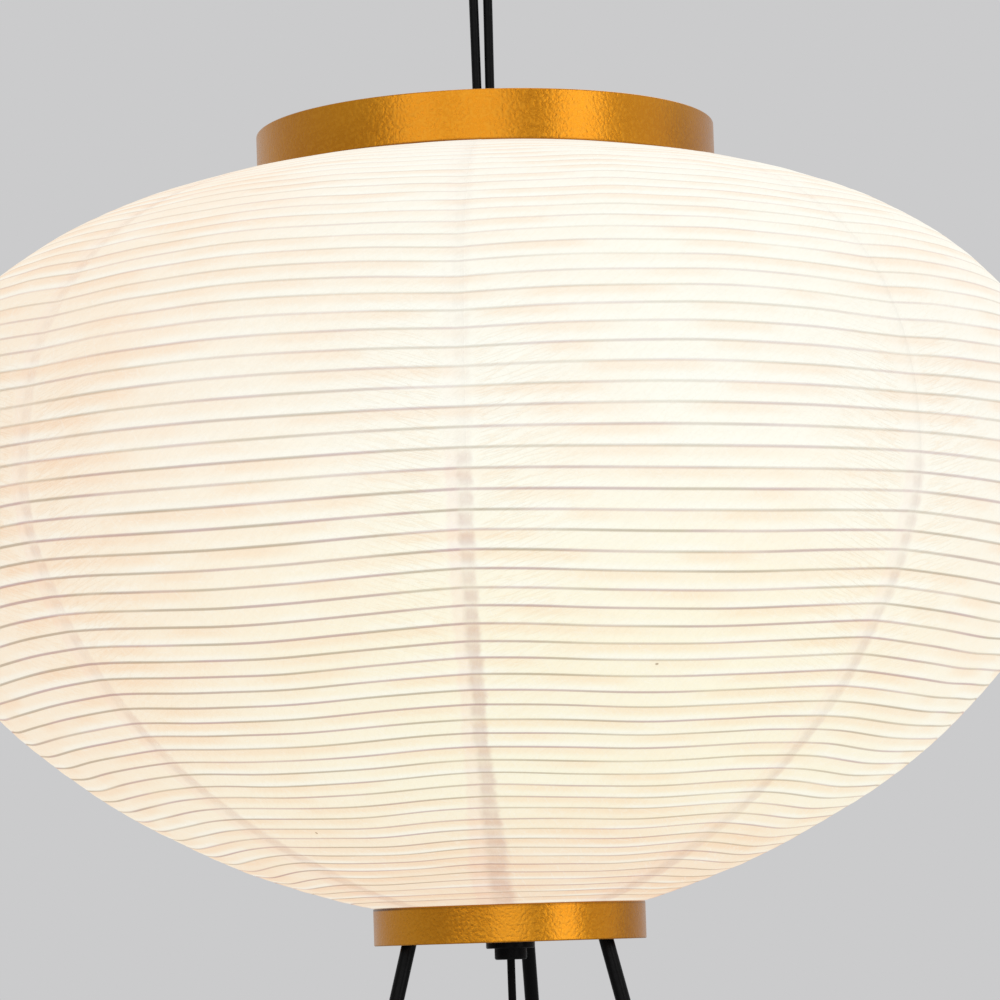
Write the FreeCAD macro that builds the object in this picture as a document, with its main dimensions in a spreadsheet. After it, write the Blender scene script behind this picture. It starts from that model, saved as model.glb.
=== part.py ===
import FreeCAD, Part
import Sketcher
import math
import os
import re
from FreeCAD import Placement, Rotation, Vector

# Paper lantern floor lamp. Millimetres, +Z up. The origin is on the floor, on the lamp's own axis.
# The lamp is seen from -Y, with +X to the right.

# Driving sizes: name, value (mm, degrees or a count), meaning.
SIZES = (
    ("stand_height", 800.0, "floor to the lower edge of the bottom ring"),
    ("ring_spacing", 424.5, "lower edge of the bottom ring to lower edge of the top ring"),
    ("top_ring_radius", 128.0, "outside of the top ring"),
    ("top_ring_height", 27.5, "height of the top band"),
    ("bottom_ring_radius", 75.0, "outside of the bottom ring"),
    ("bottom_ring_height", 20.5, "height of the bottom band"),
    ("ring_wall", 2.5, "thickness of both bands"),
    ("ring_edge_round", 0.7, "rounding of the bands' edges"),
    ("shade_radius", 327.5, "paper shade at its widest"),
    ("equator_rise", 237.5, "widest line above the bottom ring's lower edge"),
    ("upper_fullness", 2.42, "superellipse exponent above the widest line"),
    ("lower_fullness", 1.72, "superellipse exponent below the widest line"),
    ("gore_count", 8, "paper strips round the shade"),
    ("seam_angle", -92.6, "bearing of the first seam"),
    ("paper_thickness", 0.5, "washi with its backing"),
    ("paper_overhang", 0.8, "paper stands this far outside each ring"),
    ("paper_lap", 0.2, "paper lies this far off a ring's edge"),
    ("neck_length", 10.0, "paper tucked inside each ring"),
    ("fit_gap", 0.2, "free play between pieces that sit in each other"),
    ("rib_count", 64, "wire hoops that carry the paper"),
    ("rib_radius", 0.65, "half the hoop wire"),
    ("rib_gap", 0.1, "glue line between hoop and paper"),
    ("rib_spread", 0.12, "how much wider the lowest hoop spacing is than the middle one"),
    ("end_hoop_wire", 1.5, "half the heavier wire that holds a paper neck"),
    ("end_hoop_inset", 3.0, "end of the paper neck to its hoop"),
    ("plate_rise", 1.2, "bottom ring's lower edge to the base spider"),
    ("plate_thickness", 3.0, "base spider"),
    ("plate_radius", 38.0, "hub of the base spider"),
    ("plate_arm_width", 15.0, "arm of the base spider"),
    ("leg_pad_radius", 12.5, "round end of a base spider arm"),
    ("leg_reach", 62.0, "axis to each leg, at the ring's lower edge"),
    ("leg_splay", 15.9, "lean of each leg, in degrees"),
    ("leg_radius", 4.0, "half a leg rod"),
    ("leg_bearing_left", 207.0, "direction of the left leg, from +X, in degrees"),
    ("leg_bearing_right", 327.0, "direction of the right leg, from +X, in degrees"),
    ("leg_bearing_back", 81.0, "direction of the back leg, from +X, in degrees"),
    ("leg_end_rise", 6.0, "floor to a leg rod's end inside its foot"),
    ("socket_radius", 6.5, "threaded socket that takes a leg"),
    ("socket_length", 15.0, "threaded socket that takes a leg"),
    ("leg_nut_height", 6.0, "nut that locks a leg"),
    ("leg_nut_radius", 7.5, "corner radius of that nut"),
    ("foot_radius", 9.5, "rubber foot at the floor"),
    ("foot_top_radius", 8.6, "rubber foot at its top"),
    ("foot_height", 16.0, "rubber foot"),
    ("foot_round", 0.8, "upper edge of the rubber foot"),
    ("flange_radius", 13.5, "black disc under the base spider"),
    ("flange_drop", 3.3, "that disc below the ring's lower edge"),
    ("flange_round", 0.8, "edges of that disc"),
    ("grip_radius", 8.9, "round cord grip"),
    ("grip_height", 6.2, "round cord grip"),
    ("grip_round", 1.2, "lower edge of the cord grip"),
    ("riser_radius", 5.0, "threaded tube up to the lamp holder"),
    ("riser_bore", 3.6, "bore of that tube"),
    ("holder_rise", 185.0, "bottom ring's lower edge to the lamp holder"),
    ("washer_radius", 10.5, "washer on the base spider"),
    ("washer_height", 1.2, "washer on the base spider"),
    ("riser_nut_height", 6.0, "nut on the riser"),
    ("riser_nut_radius", 9.6, "corner radius of that nut"),
    ("riser_grip", 8.0, "riser's reach into the lamp holder"),
    ("holder_radius", 20.0, "lamp holder cap"),
    ("holder_wall", 2.0, "walls of the lamp holder"),
    ("holder_cap_height", 20.0, "lamp holder cap"),
    ("holder_cap_floor", 3.0, "lamp holder cap's lower wall"),
    ("holder_step", 0.6, "lamp holder cap stands out past the sleeve"),
    ("sleeve_height", 36.0, "lamp holder sleeve"),
    ("insert_height", 20.0, "ceramic insert of the lamp holder"),
    ("insert_rise", 10.0, "cap's lower face to the insert"),
    ("screw_shell_radius", 14.2, "threaded shell of the lamp holder"),
    ("screw_shell_wall", 0.5, "threaded shell of the lamp holder"),
    ("screw_shell_height", 22.0, "threaded shell of the lamp holder"),
    ("contact_height", 5.0, "centre contact of the lamp holder"),
    ("contact_radius", 3.5, "centre contact of the lamp holder"),
    ("bulb_cap_play", 0.4, "threaded shell to the screw cap in it"),
    ("bulb_cap_height", 23.0, "screw cap of the bulb"),
    ("bulb_tip_height", 2.0, "contact end of the bulb"),
    ("bulb_tip_radius", 4.7, "contact end of the bulb"),
    ("bulb_tip_seat", 10.6, "contact end of the bulb where it meets the cap"),
    ("bulb_neck_height", 18.0, "plastic neck of the bulb"),
    ("bulb_neck_lip", 1.0, "neck stands out past the screw cap"),
    ("bulb_neck_radius", 22.0, "top of that neck"),
    ("bulb_radius", 40.0, "opal globe"),
    ("bulb_wall", 1.2, "opal globe"),
    ("led_board_height", 1.6, "board under the globe"),
    ("led_board_inset", 4.0, "globe's rim to the board"),
    ("rod_radius", 2.6, "half the stretcher rod"),
    ("rod_foot_reach", 30.0, "axis to each foot of the stretcher"),
    ("rod_bow", 58.0, "axis to the stretcher beside the bulb"),
    ("rod_pair_low", 3.05, "axis to each rod at the crown"),
    ("rod_pair_high", 4.1, "axis to each rod under the loop"),
    ("rod_bend", 26.0, "bend radius of the stretcher"),
    ("rod_neck_bend", 10.0, "bend radius under the loop"),
    ("ferrule_radius", 5.5, "ferrule that holds a stretcher foot"),
    ("ferrule_height", 9.0, "ferrule that holds a stretcher foot"),
    ("shoulder_low", 60.0, "base spider to the start of the bow"),
    ("shoulder_mid", 210.0, "base spider to the widest of the bow"),
    ("shoulder_high", 328.0, "base spider to the end of the bow"),
    ("shoulder_top", 398.0, "base spider to where the rods run together"),
    ("loop_rise", 93.0, "top ring's upper edge to the start of the loop"),
    ("loop_radius", 19.0, "middle of the carrying loop"),
    ("crown_rise", 1.5, "end of the paper neck to the crown spider"),
    ("crown_thickness", 2.5, "crown spider"),
    ("crown_hub_radius", 17.0, "crown spider"),
    ("crown_arm_width", 12.0, "crown spider"),
    ("crown_arm_count", 4, "crown spider"),
    ("crown_tab_height", 10.0, "tab welded to the top ring"),
    ("crown_tab_width", 16.0, "tab welded to the top ring"),
    ("stop_length", 24.0, "block clamped on the rods under the crown"),
    ("stop_width", 13.0, "block clamped on the rods under the crown"),
    ("stop_height", 9.0, "block clamped on the rods under the crown"),
    ("stop_round", 1.5, "corners of that block"),
    ("stop_screw_radius", 2.0, "screw of that block"),
    ("stop_screw_head", 3.6, "head of that screw"),
    ("cord_radius", 2.2, "half the mains cord"),
    ("cord_gap", 0.45, "between turns of the cord"),
    ("coil_middle_radius", 26.4, "cord coil at the middle of its turns"),
    ("coil_turns_in", 7, "half turns wound inward"),
    ("coil_x", -150.0, "cord coil's centre"),
    ("coil_y", 60.0, "cord coil's centre"),
    ("tie_thickness", 0.8, "strap round the coil"),
    ("tie_width", 7.0, "strap round the coil"),
    ("tie_round", 3.0, "outer bends of the strap"),
    ("switch_x", -72.0, "foot switch's centre"),
    ("switch_y", 186.0, "foot switch's centre"),
    ("switch_length", 64.0, "foot switch"),
    ("switch_width", 31.0, "foot switch"),
    ("switch_base_height", 8.0, "lower half of the foot switch"),
    ("switch_cover_height", 10.0, "upper half of the foot switch"),
    ("switch_wall", 2.0, "foot switch"),
    ("switch_round", 8.0, "corners of the foot switch"),
    ("switch_top_round", 2.5, "upper edge of the foot switch"),
    ("switch_corner_cut", 4.8, "inner corners of the foot switch"),
    ("switch_boss_radius", 4.0, "screw boss of the foot switch"),
    ("switch_screw_sink", 2.5, "depth of the hole for a switch screw's head"),
    ("button_radius", 10.5, "foot button"),
    ("button_rise", 5.0, "foot button above the cover"),
    ("button_flange", 12.0, "rim that keeps the button in"),
    ("button_skirt", 3.5, "height of that rim"),
    ("button_round", 1.5, "upper edge of the foot button"),
    ("spring_seat", 1.0, "hollow under the button that takes the spring"),
    ("spring_radius", 4.5, "button spring"),
    ("spring_wire", 0.4, "half the spring wire"),
    ("spring_turns", 4, "button spring"),
    ("contact_length", 9.0, "switch contact"),
    ("contact_width", 4.0, "switch contact"),
    ("contact_thickness", 1.5, "switch contact"),
    ("contact_offset", 17.0, "switch contact from the middle"),
    ("switch_screw_radius", 1.5, "switch screw"),
    ("switch_screw_head", 2.8, "switch screw's head"),
    ("switch_screw_cap", 1.8, "height of that head"),
    ("switch_screw_offset", 24.0, "switch screw from the middle"),
    ("relief_length", 24.0, "tapered strain relief"),
    ("relief_radius", 4.4, "strain relief at its housing"),
    ("relief_tip_radius", 3.1, "strain relief at its tip"),
    ("plug_x", -173.0, "plug's back face"),
    ("plug_y", -86.0, "plug's back face"),
    ("plug_length", 34.0, "flat two-pin plug"),
    ("plug_width", 35.0, "flat two-pin plug at its face"),
    ("plug_thickness", 13.6, "flat two-pin plug"),
    ("plug_back_width", 17.0, "flat two-pin plug at its back"),
    ("plug_back_thickness", 11.0, "flat two-pin plug at its back"),
    ("plug_taper", 24.0, "back of the plug to its widest"),
    ("plug_round", 3.0, "long edges of the plug"),
    ("pin_radius", 2.0, "plug pin"),
    ("pin_length", 19.0, "plug pin outside the body"),
    ("pin_pitch", 19.0, "between the pins"),
    ("pin_root", 8.0, "plug pin inside the body"),
    ("pin_round", 1.0, "end of a plug pin"),
)

# Heights that several pieces share, as expressions of the sizes above.
BOTTOM_RING_TOP = "stand_height + bottom_ring_height"
TOP_RING_LOW = "stand_height + ring_spacing"
TOP_RING_TOP = TOP_RING_LOW + " + top_ring_height"
PLATE_LOW = "stand_height + plate_rise"
PLATE_TOP = PLATE_LOW + " + plate_thickness"
CROWN_LOW = TOP_RING_LOW + " + neck_length + crown_rise"
STOP_LOW = CROWN_LOW + " - fit_gap - stop_height"
LOOP_START = TOP_RING_TOP + " + loop_rise"
RODS_MEET = PLATE_TOP + " + shoulder_top"
FLANGE_LOW = "stand_height - flange_drop"
GRIP_LOW = FLANGE_LOW + " - grip_height"
NUT_LOW = PLATE_TOP + " + washer_height"
HOLDER_LOW = "stand_height + holder_rise"
SLEEVE_LOW = HOLDER_LOW + " + holder_cap_height"
INSERT_LOW = HOLDER_LOW + " + insert_rise"
INSERT_TOP = INSERT_LOW + " + insert_height"
SLEEVE_RADIUS = "holder_radius - holder_step"
BULB_CAP_RADIUS = "screw_shell_radius - screw_shell_wall - bulb_cap_play"
BULB_TIP_LOW = INSERT_TOP + " + contact_height + fit_gap"
BULB_CAP_LOW = BULB_TIP_LOW + " + bulb_tip_height"
BULB_NECK_LOW = BULB_CAP_LOW + " + bulb_cap_height"
BULB_NECK_TOP = BULB_NECK_LOW + " + bulb_neck_height"
BOTTOM_BORE = "bottom_ring_radius - ring_wall"
TOP_BORE = "top_ring_radius - ring_wall"
SWITCH_TOP = "switch_base_height + switch_cover_height"
BUTTON_TOP = SWITCH_TOP + " + button_rise"
BUTTON_RIM_TOP = SWITCH_TOP + " - switch_wall - fit_gap"
BUTTON_LOW = BUTTON_RIM_TOP + " - button_skirt"
COIL_LOW = "cord_radius + tie_thickness + fit_gap"
COIL_HIGH = COIL_LOW + " + 2 * cord_radius + cord_gap"

UP = Vector(0, 0, 1)
WORD = re.compile(r"[a-z][a-z_]*")

doc = FreeCAD.newDocument("PaperLanternFloorLamp")
sheet = doc.addObject("Spreadsheet::Sheet", "Sizes")
names = {name for name, value, meaning in SIZES}
pieces = []


def fill_sheet():
    """Put every driving size in the sheet, under its own name."""
    for row, (name, value, meaning) in enumerate(SIZES, start=1):
        sheet.set(f"A{row}", meaning)
        sheet.set(f"B{row}", str(value))
        sheet.setAlias(f"B{row}", name)
    doc.recompute()


def size(expression):
    """The value of an expression of the sheet's names."""
    return float(sheet.evalExpression(expression))


def linked(expression):
    """The same expression, as another object of the document reads it."""

    def full_name(word):
        return "Sizes." + word.group() if word.group() in names else word.group()

    return WORD.sub(full_name, expression)


def bind(item, **cells):
    """Bind properties of an object to expressions of the sheet."""
    for name, expression in cells.items():
        item.setExpression(name.replace("__", "."), linked(expression))


def keep(item, label):
    """Name a finished sub-part and put it on the list of pieces."""
    item.Label = label
    pieces.append(item)
    return item


def shaped(label, shape, place=None):
    """A sub-part whose shape is worked out here from the sheet."""
    item = doc.addObject("Part::Feature", label)
    item.Shape = shape
    item.Placement = place or Placement()
    return keep(item, label)


# ---- sketches and bodies ---------------------------------------------------------------------


def new_body(label, x="0", y="0", z="0", turn="0"):
    """An empty body with its place bound to the sheet."""
    body = doc.addObject("PartDesign::Body", label)
    body.Placement = Placement(Vector(size(x), size(y), size(z)), Rotation(UP, size(turn)))
    for axis, expression in (("x", x), ("y", y), ("z", z)):
        body.setExpression(f"Placement.Base.{axis}", linked(expression))
    return keep(body, label)


def new_sketch(body, plane, name, offset="0"):
    """A sketch on one of the body's own origin planes, moved along its normal."""
    sketch = body.newObject("Sketcher::SketchObject", f"{body.Name}_{name}")
    origin = [item for item in body.Origin.OriginFeatures if item.Role == plane][0]
    sketch.AttachmentSupport = (origin, [""])
    sketch.MapMode = "FlatFace"
    if offset != "0":
        sketch.setExpression("AttachmentOffset.Base.z", linked(offset))
    return sketch


def hold(sketch, kind, line, point, expression):
    """Hold one coordinate of a sketch point at an expression of the sheet."""
    if expression == "0":
        axis = -2 if kind == "DistanceX" else -1
        sketch.addConstraint(Sketcher.Constraint("PointOnObject", line, point, axis))
        return
    number = sketch.addConstraint(Sketcher.Constraint(kind, -1, 1, line, point, size(expression)))
    name = f"{kind[-1].lower()}_{line}_{point}"
    sketch.renameConstraint(number, name)
    sketch.setExpression(f"Constraints.{name}", linked(expression))


def outline(sketch, corners):
    """A closed outline of straight lines through (x, y) expressions."""
    points = [Vector(size(x), size(y), 0) for x, y in corners]
    lines = [sketch.addGeometry(Part.LineSegment(a, b)) for a, b in zip(points, points[1:] + points[:1])]
    for line, following in zip(lines, lines[1:] + lines[:1]):
        sketch.addConstraint(Sketcher.Constraint("Coincident", line, 2, following, 1))
    for line, (x, y) in zip(lines, corners):
        hold(sketch, "DistanceX", line, 1, x)
        hold(sketch, "DistanceY", line, 1, y)


def rectangle(sketch, half_x, half_y, x="0", y="0"):
    """A rectangle round (x, y)."""
    left, right = f"{x} - ({half_x})", f"{x} + ({half_x})"
    low, high = f"{y} - ({half_y})", f"{y} + ({half_y})"
    outline(sketch, [(left, low), (right, low), (right, high), (left, high)])


def cut_rectangle(sketch, half_x, half_y, cut):
    """A rectangle round the middle with its corners cut off."""
    near_x, near_y = f"{half_x} - {cut}", f"{half_y} - {cut}"
    quarter = ((near_x, half_y), (half_x, near_y))
    corners = [(x, y) for x, y in quarter]
    corners += [(x, f"-({y})") for x, y in quarter[::-1]]
    corners += [(f"-({x})", f"-({y})") for x, y in quarter]
    corners += [(f"-({x})", y) for x, y in quarter[::-1]]
    outline(sketch, corners)


def screw_circles(sketch, radius):
    """One circle round each screw of the foot switch."""
    for side in ("-", ""):
        circle(sketch, radius, x=side + "switch_screw_offset")


def circle(sketch, radius, x="0", y="0"):
    """A circle round (x, y)."""
    number = sketch.addGeometry(Part.Circle(Vector(size(x), size(y), 0), UP, size(radius)))
    constraint = sketch.addConstraint(Sketcher.Constraint("Radius", number, size(radius)))
    sketch.renameConstraint(constraint, f"radius_{number}")
    sketch.setExpression(f"Constraints.radius_{number}", linked(radius))
    hold(sketch, "DistanceX", number, 3, x)
    hold(sketch, "DistanceY", number, 3, y)


def pad(body, sketch, length):
    """Grow a sketch upward."""
    feature = body.newObject("PartDesign::Pad", sketch.Name + "_pad")
    feature.Profile = sketch
    feature.setExpression("Length", linked(length))
    sketch.Visibility = False
    return feature


def pocket(body, sketch, depth):
    """Cut a sketch downward, and make sure that it cuts."""
    doc.recompute()
    before = body.Shape.Volume
    feature = body.newObject("PartDesign::Pocket", sketch.Name + "_pocket")
    feature.Profile = sketch
    feature.setExpression("Length", linked(depth))
    doc.recompute()
    if not body.Shape.Volume < before:
        raise RuntimeError(f"{feature.Name} removes nothing")
    return feature


def rounded(body, radius, chosen):
    """Round the edges of the body's last feature that chosen accepts."""
    doc.recompute()
    tip = body.Tip
    edges = [f"Edge{number}" for number, edge in enumerate(tip.Shape.Edges, start=1) if chosen(edge)]
    feature = body.newObject("PartDesign::Fillet", f"{body.Name}_round_{len(body.Group)}")
    feature.Base = (tip, edges)
    feature.setExpression("Radius", linked(radius))
    return feature


def turned(label, section, x="0", y="0", z="0"):
    """A body turned about its own upright axis; section is (radius, height) expressions."""
    body = new_body(label, x, y, z)
    sketch = new_sketch(body, "XZ_Plane", "section")
    outline(sketch, section)
    turn = body.newObject("PartDesign::Revolution", label + "_turn")
    turn.Profile = sketch
    turn.ReferenceAxis = (sketch, ["V_Axis"])
    turn.Angle = 360
    return body


def tube_section(outer, inner, height):
    """Section of a plain tube."""
    return [(inner, "0"), (outer, "0"), (outer, height), (inner, height)]


def disc_section(radius, height):
    """Section of a plain disc."""
    return [("0", "0"), (radius, "0"), (radius, height), ("0", height)]


def upright(edge):
    """True for an edge that runs straight up."""
    low, high = edge.Vertexes[0].Point, edge.Vertexes[-1].Point
    return math.hypot(high.x - low.x, high.y - low.y) < 1e-6 < abs(high.z - low.z)


def along_y(edge):
    """True for an edge that runs mostly along Y."""
    return abs(edge.tangentAt(edge.FirstParameter).y) > 0.3


def rim_of(radius):
    """Chooser of the whole circles of one radius."""
    return lambda edge: len(edge.Vertexes) == 1 and abs(edge.Curve.Radius - radius) < 1e-3


def level_at(height):
    """Chooser of the edges that lie level at one height."""
    return lambda edge: all(abs(vertex.Point.z - height) < 1e-4 for vertex in edge.Vertexes)


# ---- paths, tubes and rods -------------------------------------------------------------------


def rounded_path(points, bend=None):
    """Straight runs joined by tangent arcs, and the arcs' radii; bend is one radius for them all."""
    edges, radii = [], []
    start = points[0]
    for before, corner, after in zip(points, points[1:], points[2:]):
        arriving, leaving = corner - before, after - corner
        half_turn = arriving.getAngle(leaving) / 2
        radius = bend or 0.45 * min(arriving.Length, leaving.Length) / math.tan(half_turn)
        setback = radius * math.tan(half_turn)
        arriving.normalize()
        leaving.normalize()
        first, last = corner - arriving * setback, corner + leaving * setback
        inward = leaving - arriving
        inward.normalize()
        middle = corner + inward * (radius / math.cos(half_turn) - radius)
        edges.append(Part.LineSegment(start, first).toShape())
        edges.append(Part.Arc(first, middle, last).toShape())
        radii.append(radius)
        start = last
    edges.append(Part.LineSegment(start, points[-1]).toShape())
    return Part.Wire(edges), radii


def arc_leaving(start, direction, end):
    """The arc from start, along direction, to end."""
    chord = end - start
    along = Vector(chord)
    along.normalize()
    side = direction - along * direction.dot(along)
    side.normalize()
    rise = chord.Length / 2 * math.tan(direction.getAngle(chord) / 2)
    return Part.Arc(start, start + chord / 2 + side * rise, end).toShape()


def biarc(start, leaving, end, arriving):
    """Two tangent arcs from start to end, with the directions given there."""
    chord, both = end - start, leaving + arriving
    spread = 2 * (1 - leaving.dot(arriving))
    reach = (math.sqrt(chord.dot(both) ** 2 + spread * chord.dot(chord)) - chord.dot(both)) / spread
    joint = (start + end + (leaving - arriving) * reach) / 2
    back = arc_leaving(end, arriving * -1, joint)
    halfway = back.valueAt((back.FirstParameter + back.LastParameter) / 2)
    return [arc_leaving(start, leaving, joint), Part.Arc(joint, halfway, end).toShape()]


def tube_along(path, radius):
    """A round solid swept along a path."""
    start = path.OrderedEdges[0]
    tangent = start.tangentAt(start.FirstParameter)
    if (start.valueAt(start.FirstParameter) - path.OrderedVertexes[0].Point).Length > 1e-6:
        tangent = start.tangentAt(start.LastParameter) * -1
    section = Part.Wire(Part.makeCircle(radius, path.OrderedVertexes[0].Point, tangent))
    solid = path.makePipeShell([section], True, False)
    wanted = math.pi * radius**2 * path.Length
    if abs(solid.Volume - wanted) > 0.02 * wanted:
        raise RuntimeError(f"a tube holds {solid.Volume:.0f} and not {wanted:.0f} cubic mm")
    return solid


def report_path(name, path, radii):
    """Print a cord's length and its tightest arc."""
    diameter = size("2 * cord_radius")
    tightest = min(radii)
    share = tightest / diameter
    print(f"{name}: {path.Length:.0f} mm, tightest arc {tightest:.1f} mm, {share:.1f} diameters")


def gap_to_itself(path, radius, skip):
    """The least gap of a tube to itself, on points that lie at least skip apart along it."""
    steps = int(path.Length / radius)
    points = path.discretize(Number=steps)
    step = path.Length / (steps - 1)
    apart = int(skip / step) + 1
    nearest = min(
        (points[i] - points[j]).Length for i in range(len(points)) for j in range(i + apart, len(points))
    )
    return nearest - 2 * radius


# ---- rings and shade -------------------------------------------------------------------------


def make_rings():
    """The two plain gold bands."""
    for label, radius, height, low in (
        ("bottom_ring", "bottom_ring_radius", "bottom_ring_height", "stand_height"),
        ("top_ring", "top_ring_radius", "top_ring_height", TOP_RING_LOW),
    ):
        ring = turned(label, tube_section(radius, f"{radius} - ring_wall", height), z=low)
        rounded(ring, "ring_edge_round", lambda edge: len(edge.Vertexes) == 1)


class Profile:
    """The shade's outline: half a superellipse above the widest line and half below it."""

    def __init__(self):
        self.widest = size("shade_radius")
        self.middle = size("stand_height + equator_rise")
        lift = size("paper_lap + paper_thickness")
        self.low = size(BOTTOM_RING_TOP) + lift
        self.high = size(TOP_RING_LOW) - lift
        self.low_radius = size("bottom_ring_radius + paper_overhang")
        self.high_radius = size("top_ring_radius + paper_overhang")
        self.fullness = (size("lower_fullness"), size("upper_fullness"))
        self.reach = (
            self.reach_to(self.middle - self.low, self.low_radius, self.fullness[0]),
            self.reach_to(self.high - self.middle, self.high_radius, self.fullness[1]),
        )

    def reach_to(self, rise, radius, fullness):
        """Height of the whole half, so that it has the ring's radius at the ring."""
        return rise / (1 - (radius / self.widest) ** fullness) ** (1 / fullness)

    def radius_at(self, height):
        """Radius of the paper at a height."""
        side = 1 if height > self.middle else 0
        fullness = self.fullness[side]
        share = min(abs(height - self.middle) / self.reach[side], 1.0)
        return self.widest * (1 - share**fullness) ** (1 / fullness)

    def fine_points(self, count=2000):
        """Points up the outline, close together near the rings."""
        heights = [
            self.low + (self.high - self.low) * (1 - math.cos(math.pi * step / count)) / 2
            for step in range(count + 1)
        ]
        return [(self.radius_at(height), height) for height in heights]

    def hoop_points(self):
        """Corner points of the paper: one at each ring and one at each hoop."""
        fine = self.fine_points()
        travelled = [0.0]
        for (r1, h1), (r2, h2) in zip(fine, fine[1:]):
            travelled.append(travelled[-1] + math.hypot(r2 - r1, h2 - h1))
        gaps = int(size("rib_count")) + 1
        spread = size("rib_spread")
        corners = []
        index = 0
        for step in range(gaps + 1):
            share = step / gaps
            target = travelled[-1] * (share + spread / 2 * share * (1 - share))
            while index < len(travelled) - 2 and travelled[index + 1] < target:
                index += 1
            part = (target - travelled[index]) / (travelled[index + 1] - travelled[index])
            part = min(max(part, 0.0), 1.0)
            corners.append(
                tuple(a + (b - a) * part for a, b in zip(fine[index], fine[index + 1]))
            )
        return corners


def inward(points, distance):
    """Points moved square to their line, towards the inside of the shade."""
    moved = []
    for index, (radius, height) in enumerate(points):
        before, after = points[max(index - 1, 0)], points[min(index + 1, len(points) - 1)]
        along = (after[0] - before[0], after[1] - before[1])
        length = math.hypot(*along)
        moved.append((radius - along[1] / length * distance, height + along[0] / length * distance))
    return moved


def make_gores(profile):
    """Eight strips of paper, flat from hoop to hoop, each tucked into both rings."""
    thickness = size("paper_thickness")
    corners = profile.hoop_points()
    low_neck = size(BOTTOM_BORE + " - fit_gap")
    high_neck = size(TOP_BORE + " - fit_gap")
    low_end = size(BOTTOM_RING_TOP + " - neck_length")
    high_end = size(TOP_RING_LOW + " + neck_length")
    low_lip = profile.low - thickness
    high_lip = profile.high + thickness
    outer = [(low_neck, low_end), (low_neck, low_lip), (profile.low_radius, low_lip)]
    outer += corners[1:-1]
    outer += [(profile.high_radius, high_lip), (high_neck, high_lip), (high_neck, high_end)]
    inner = [(low_neck - thickness, low_end), (low_neck - thickness, low_lip + thickness)]
    inner += [(profile.low_radius - thickness, low_lip + thickness)]
    inner += inward(corners, thickness)[1:-1]
    inner += [(profile.high_radius - thickness, high_lip - thickness)]
    inner += [(high_neck - thickness, high_lip - thickness), (high_neck - thickness, high_end)]
    section = [Vector(radius, 0, height) for radius, height in outer + inner[::-1]]
    face = Part.Face(Part.makePolygon(section + section[:1]))
    count = int(size("gore_count"))
    width = 360 / count
    gore = face.revolve(Vector(), UP, width)
    for number in range(count):
        place = Placement(Vector(), Rotation(UP, size("seam_angle") + width * number))
        shaped(f"paper_gore_{number + 1}", gore, place)


def make_hoops(profile):
    """Thin wire hoops inside every fold of the paper, and a heavier one in each neck."""
    depth = size("paper_thickness + rib_gap + rib_radius")
    wire = size("rib_radius")
    hoops = []
    for radius, height in inward(profile.hoop_points(), depth)[1:-1]:
        centre = Vector(radius, 0, height)
        corners = [
            centre + Vector(math.cos(side * math.pi / 3), 0, math.sin(side * math.pi / 3)) * wire
            for side in range(7)
        ]
        hoops.append(Part.Face(Part.makePolygon(corners)).revolve(Vector(), UP, 360))
    shaped("rib_hoops", Part.makeCompound(hoops))
    for label, bore, height in (
        ("lower_end_hoop", BOTTOM_BORE, BOTTOM_RING_TOP + " - neck_length + end_hoop_inset"),
        ("upper_end_hoop", TOP_BORE, TOP_RING_LOW + " + neck_length - end_hoop_inset"),
    ):
        hoop = doc.addObject("Part::Torus", label)
        bind(
            hoop,
            Radius1=bore + " - 2 * fit_gap - paper_thickness - end_hoop_wire",
            Radius2="end_hoop_wire",
            Placement__Base__z=height,
        )
        keep(hoop, label)


# ---- crown and stretcher ---------------------------------------------------------------------


def pair_at(height):
    """Expression of each rod's distance from the axis at a height between the crown and the loop."""
    rise = f"({height} - ({RODS_MEET})) / ({LOOP_START} - ({RODS_MEET}))"
    return f"rod_pair_low + (rod_pair_high - rod_pair_low) * {rise}"


def rod_window(body, top, depth):
    """Cut the window that both rods pass through; top is its upper edge in the lamp's frame."""
    window = new_sketch(body, "XY_Plane", "window", depth)
    rectangle(window, f"{pair_at(top)} + rod_radius + fit_gap", "rod_radius + fit_gap")
    pocket(body, window, depth)


def make_crown():
    """The four-armed crown spider inside the top ring, with a window for the two rods."""
    body = new_body("crown_spider", z=CROWN_LOW)
    hub = new_sketch(body, "XY_Plane", "hub")
    circle(hub, "crown_hub_radius")
    pad(body, hub, "crown_thickness")
    reach = TOP_BORE + " - fit_gap"
    arm = new_sketch(body, "XY_Plane", "arm")
    half = "crown_arm_width / 2"
    side = f"sqrt(({reach}) ^ 2 - ({half}) ^ 2)"
    outline(arm, [("0", f"-({half})"), (side, f"-({half})"), (side, half), ("0", half)])
    arm_pad = pad(body, arm, "crown_thickness")
    tab = new_sketch(body, "XY_Plane", "tab")
    half = "crown_tab_width / 2"
    side = f"sqrt(({reach}) ^ 2 - ({half}) ^ 2)"
    back = f"{side} - crown_thickness"
    outline(tab, [(back, f"-({half})"), (side, f"-({half})"), (side, half), (back, half)])
    tab_pad = pad(body, tab, "crown_tab_height")
    doc.recompute()
    ring = body.newObject("PartDesign::PolarPattern", "crown_spider_arms")
    ring.Originals = [arm_pad, tab_pad]
    ring.Axis = (hub, ["N_Axis"])
    ring.Angle = 360
    bind(ring, Occurrences="crown_arm_count")
    body.Tip = ring
    rod_window(body, CROWN_LOW + " + crown_thickness", "crown_thickness")


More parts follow.
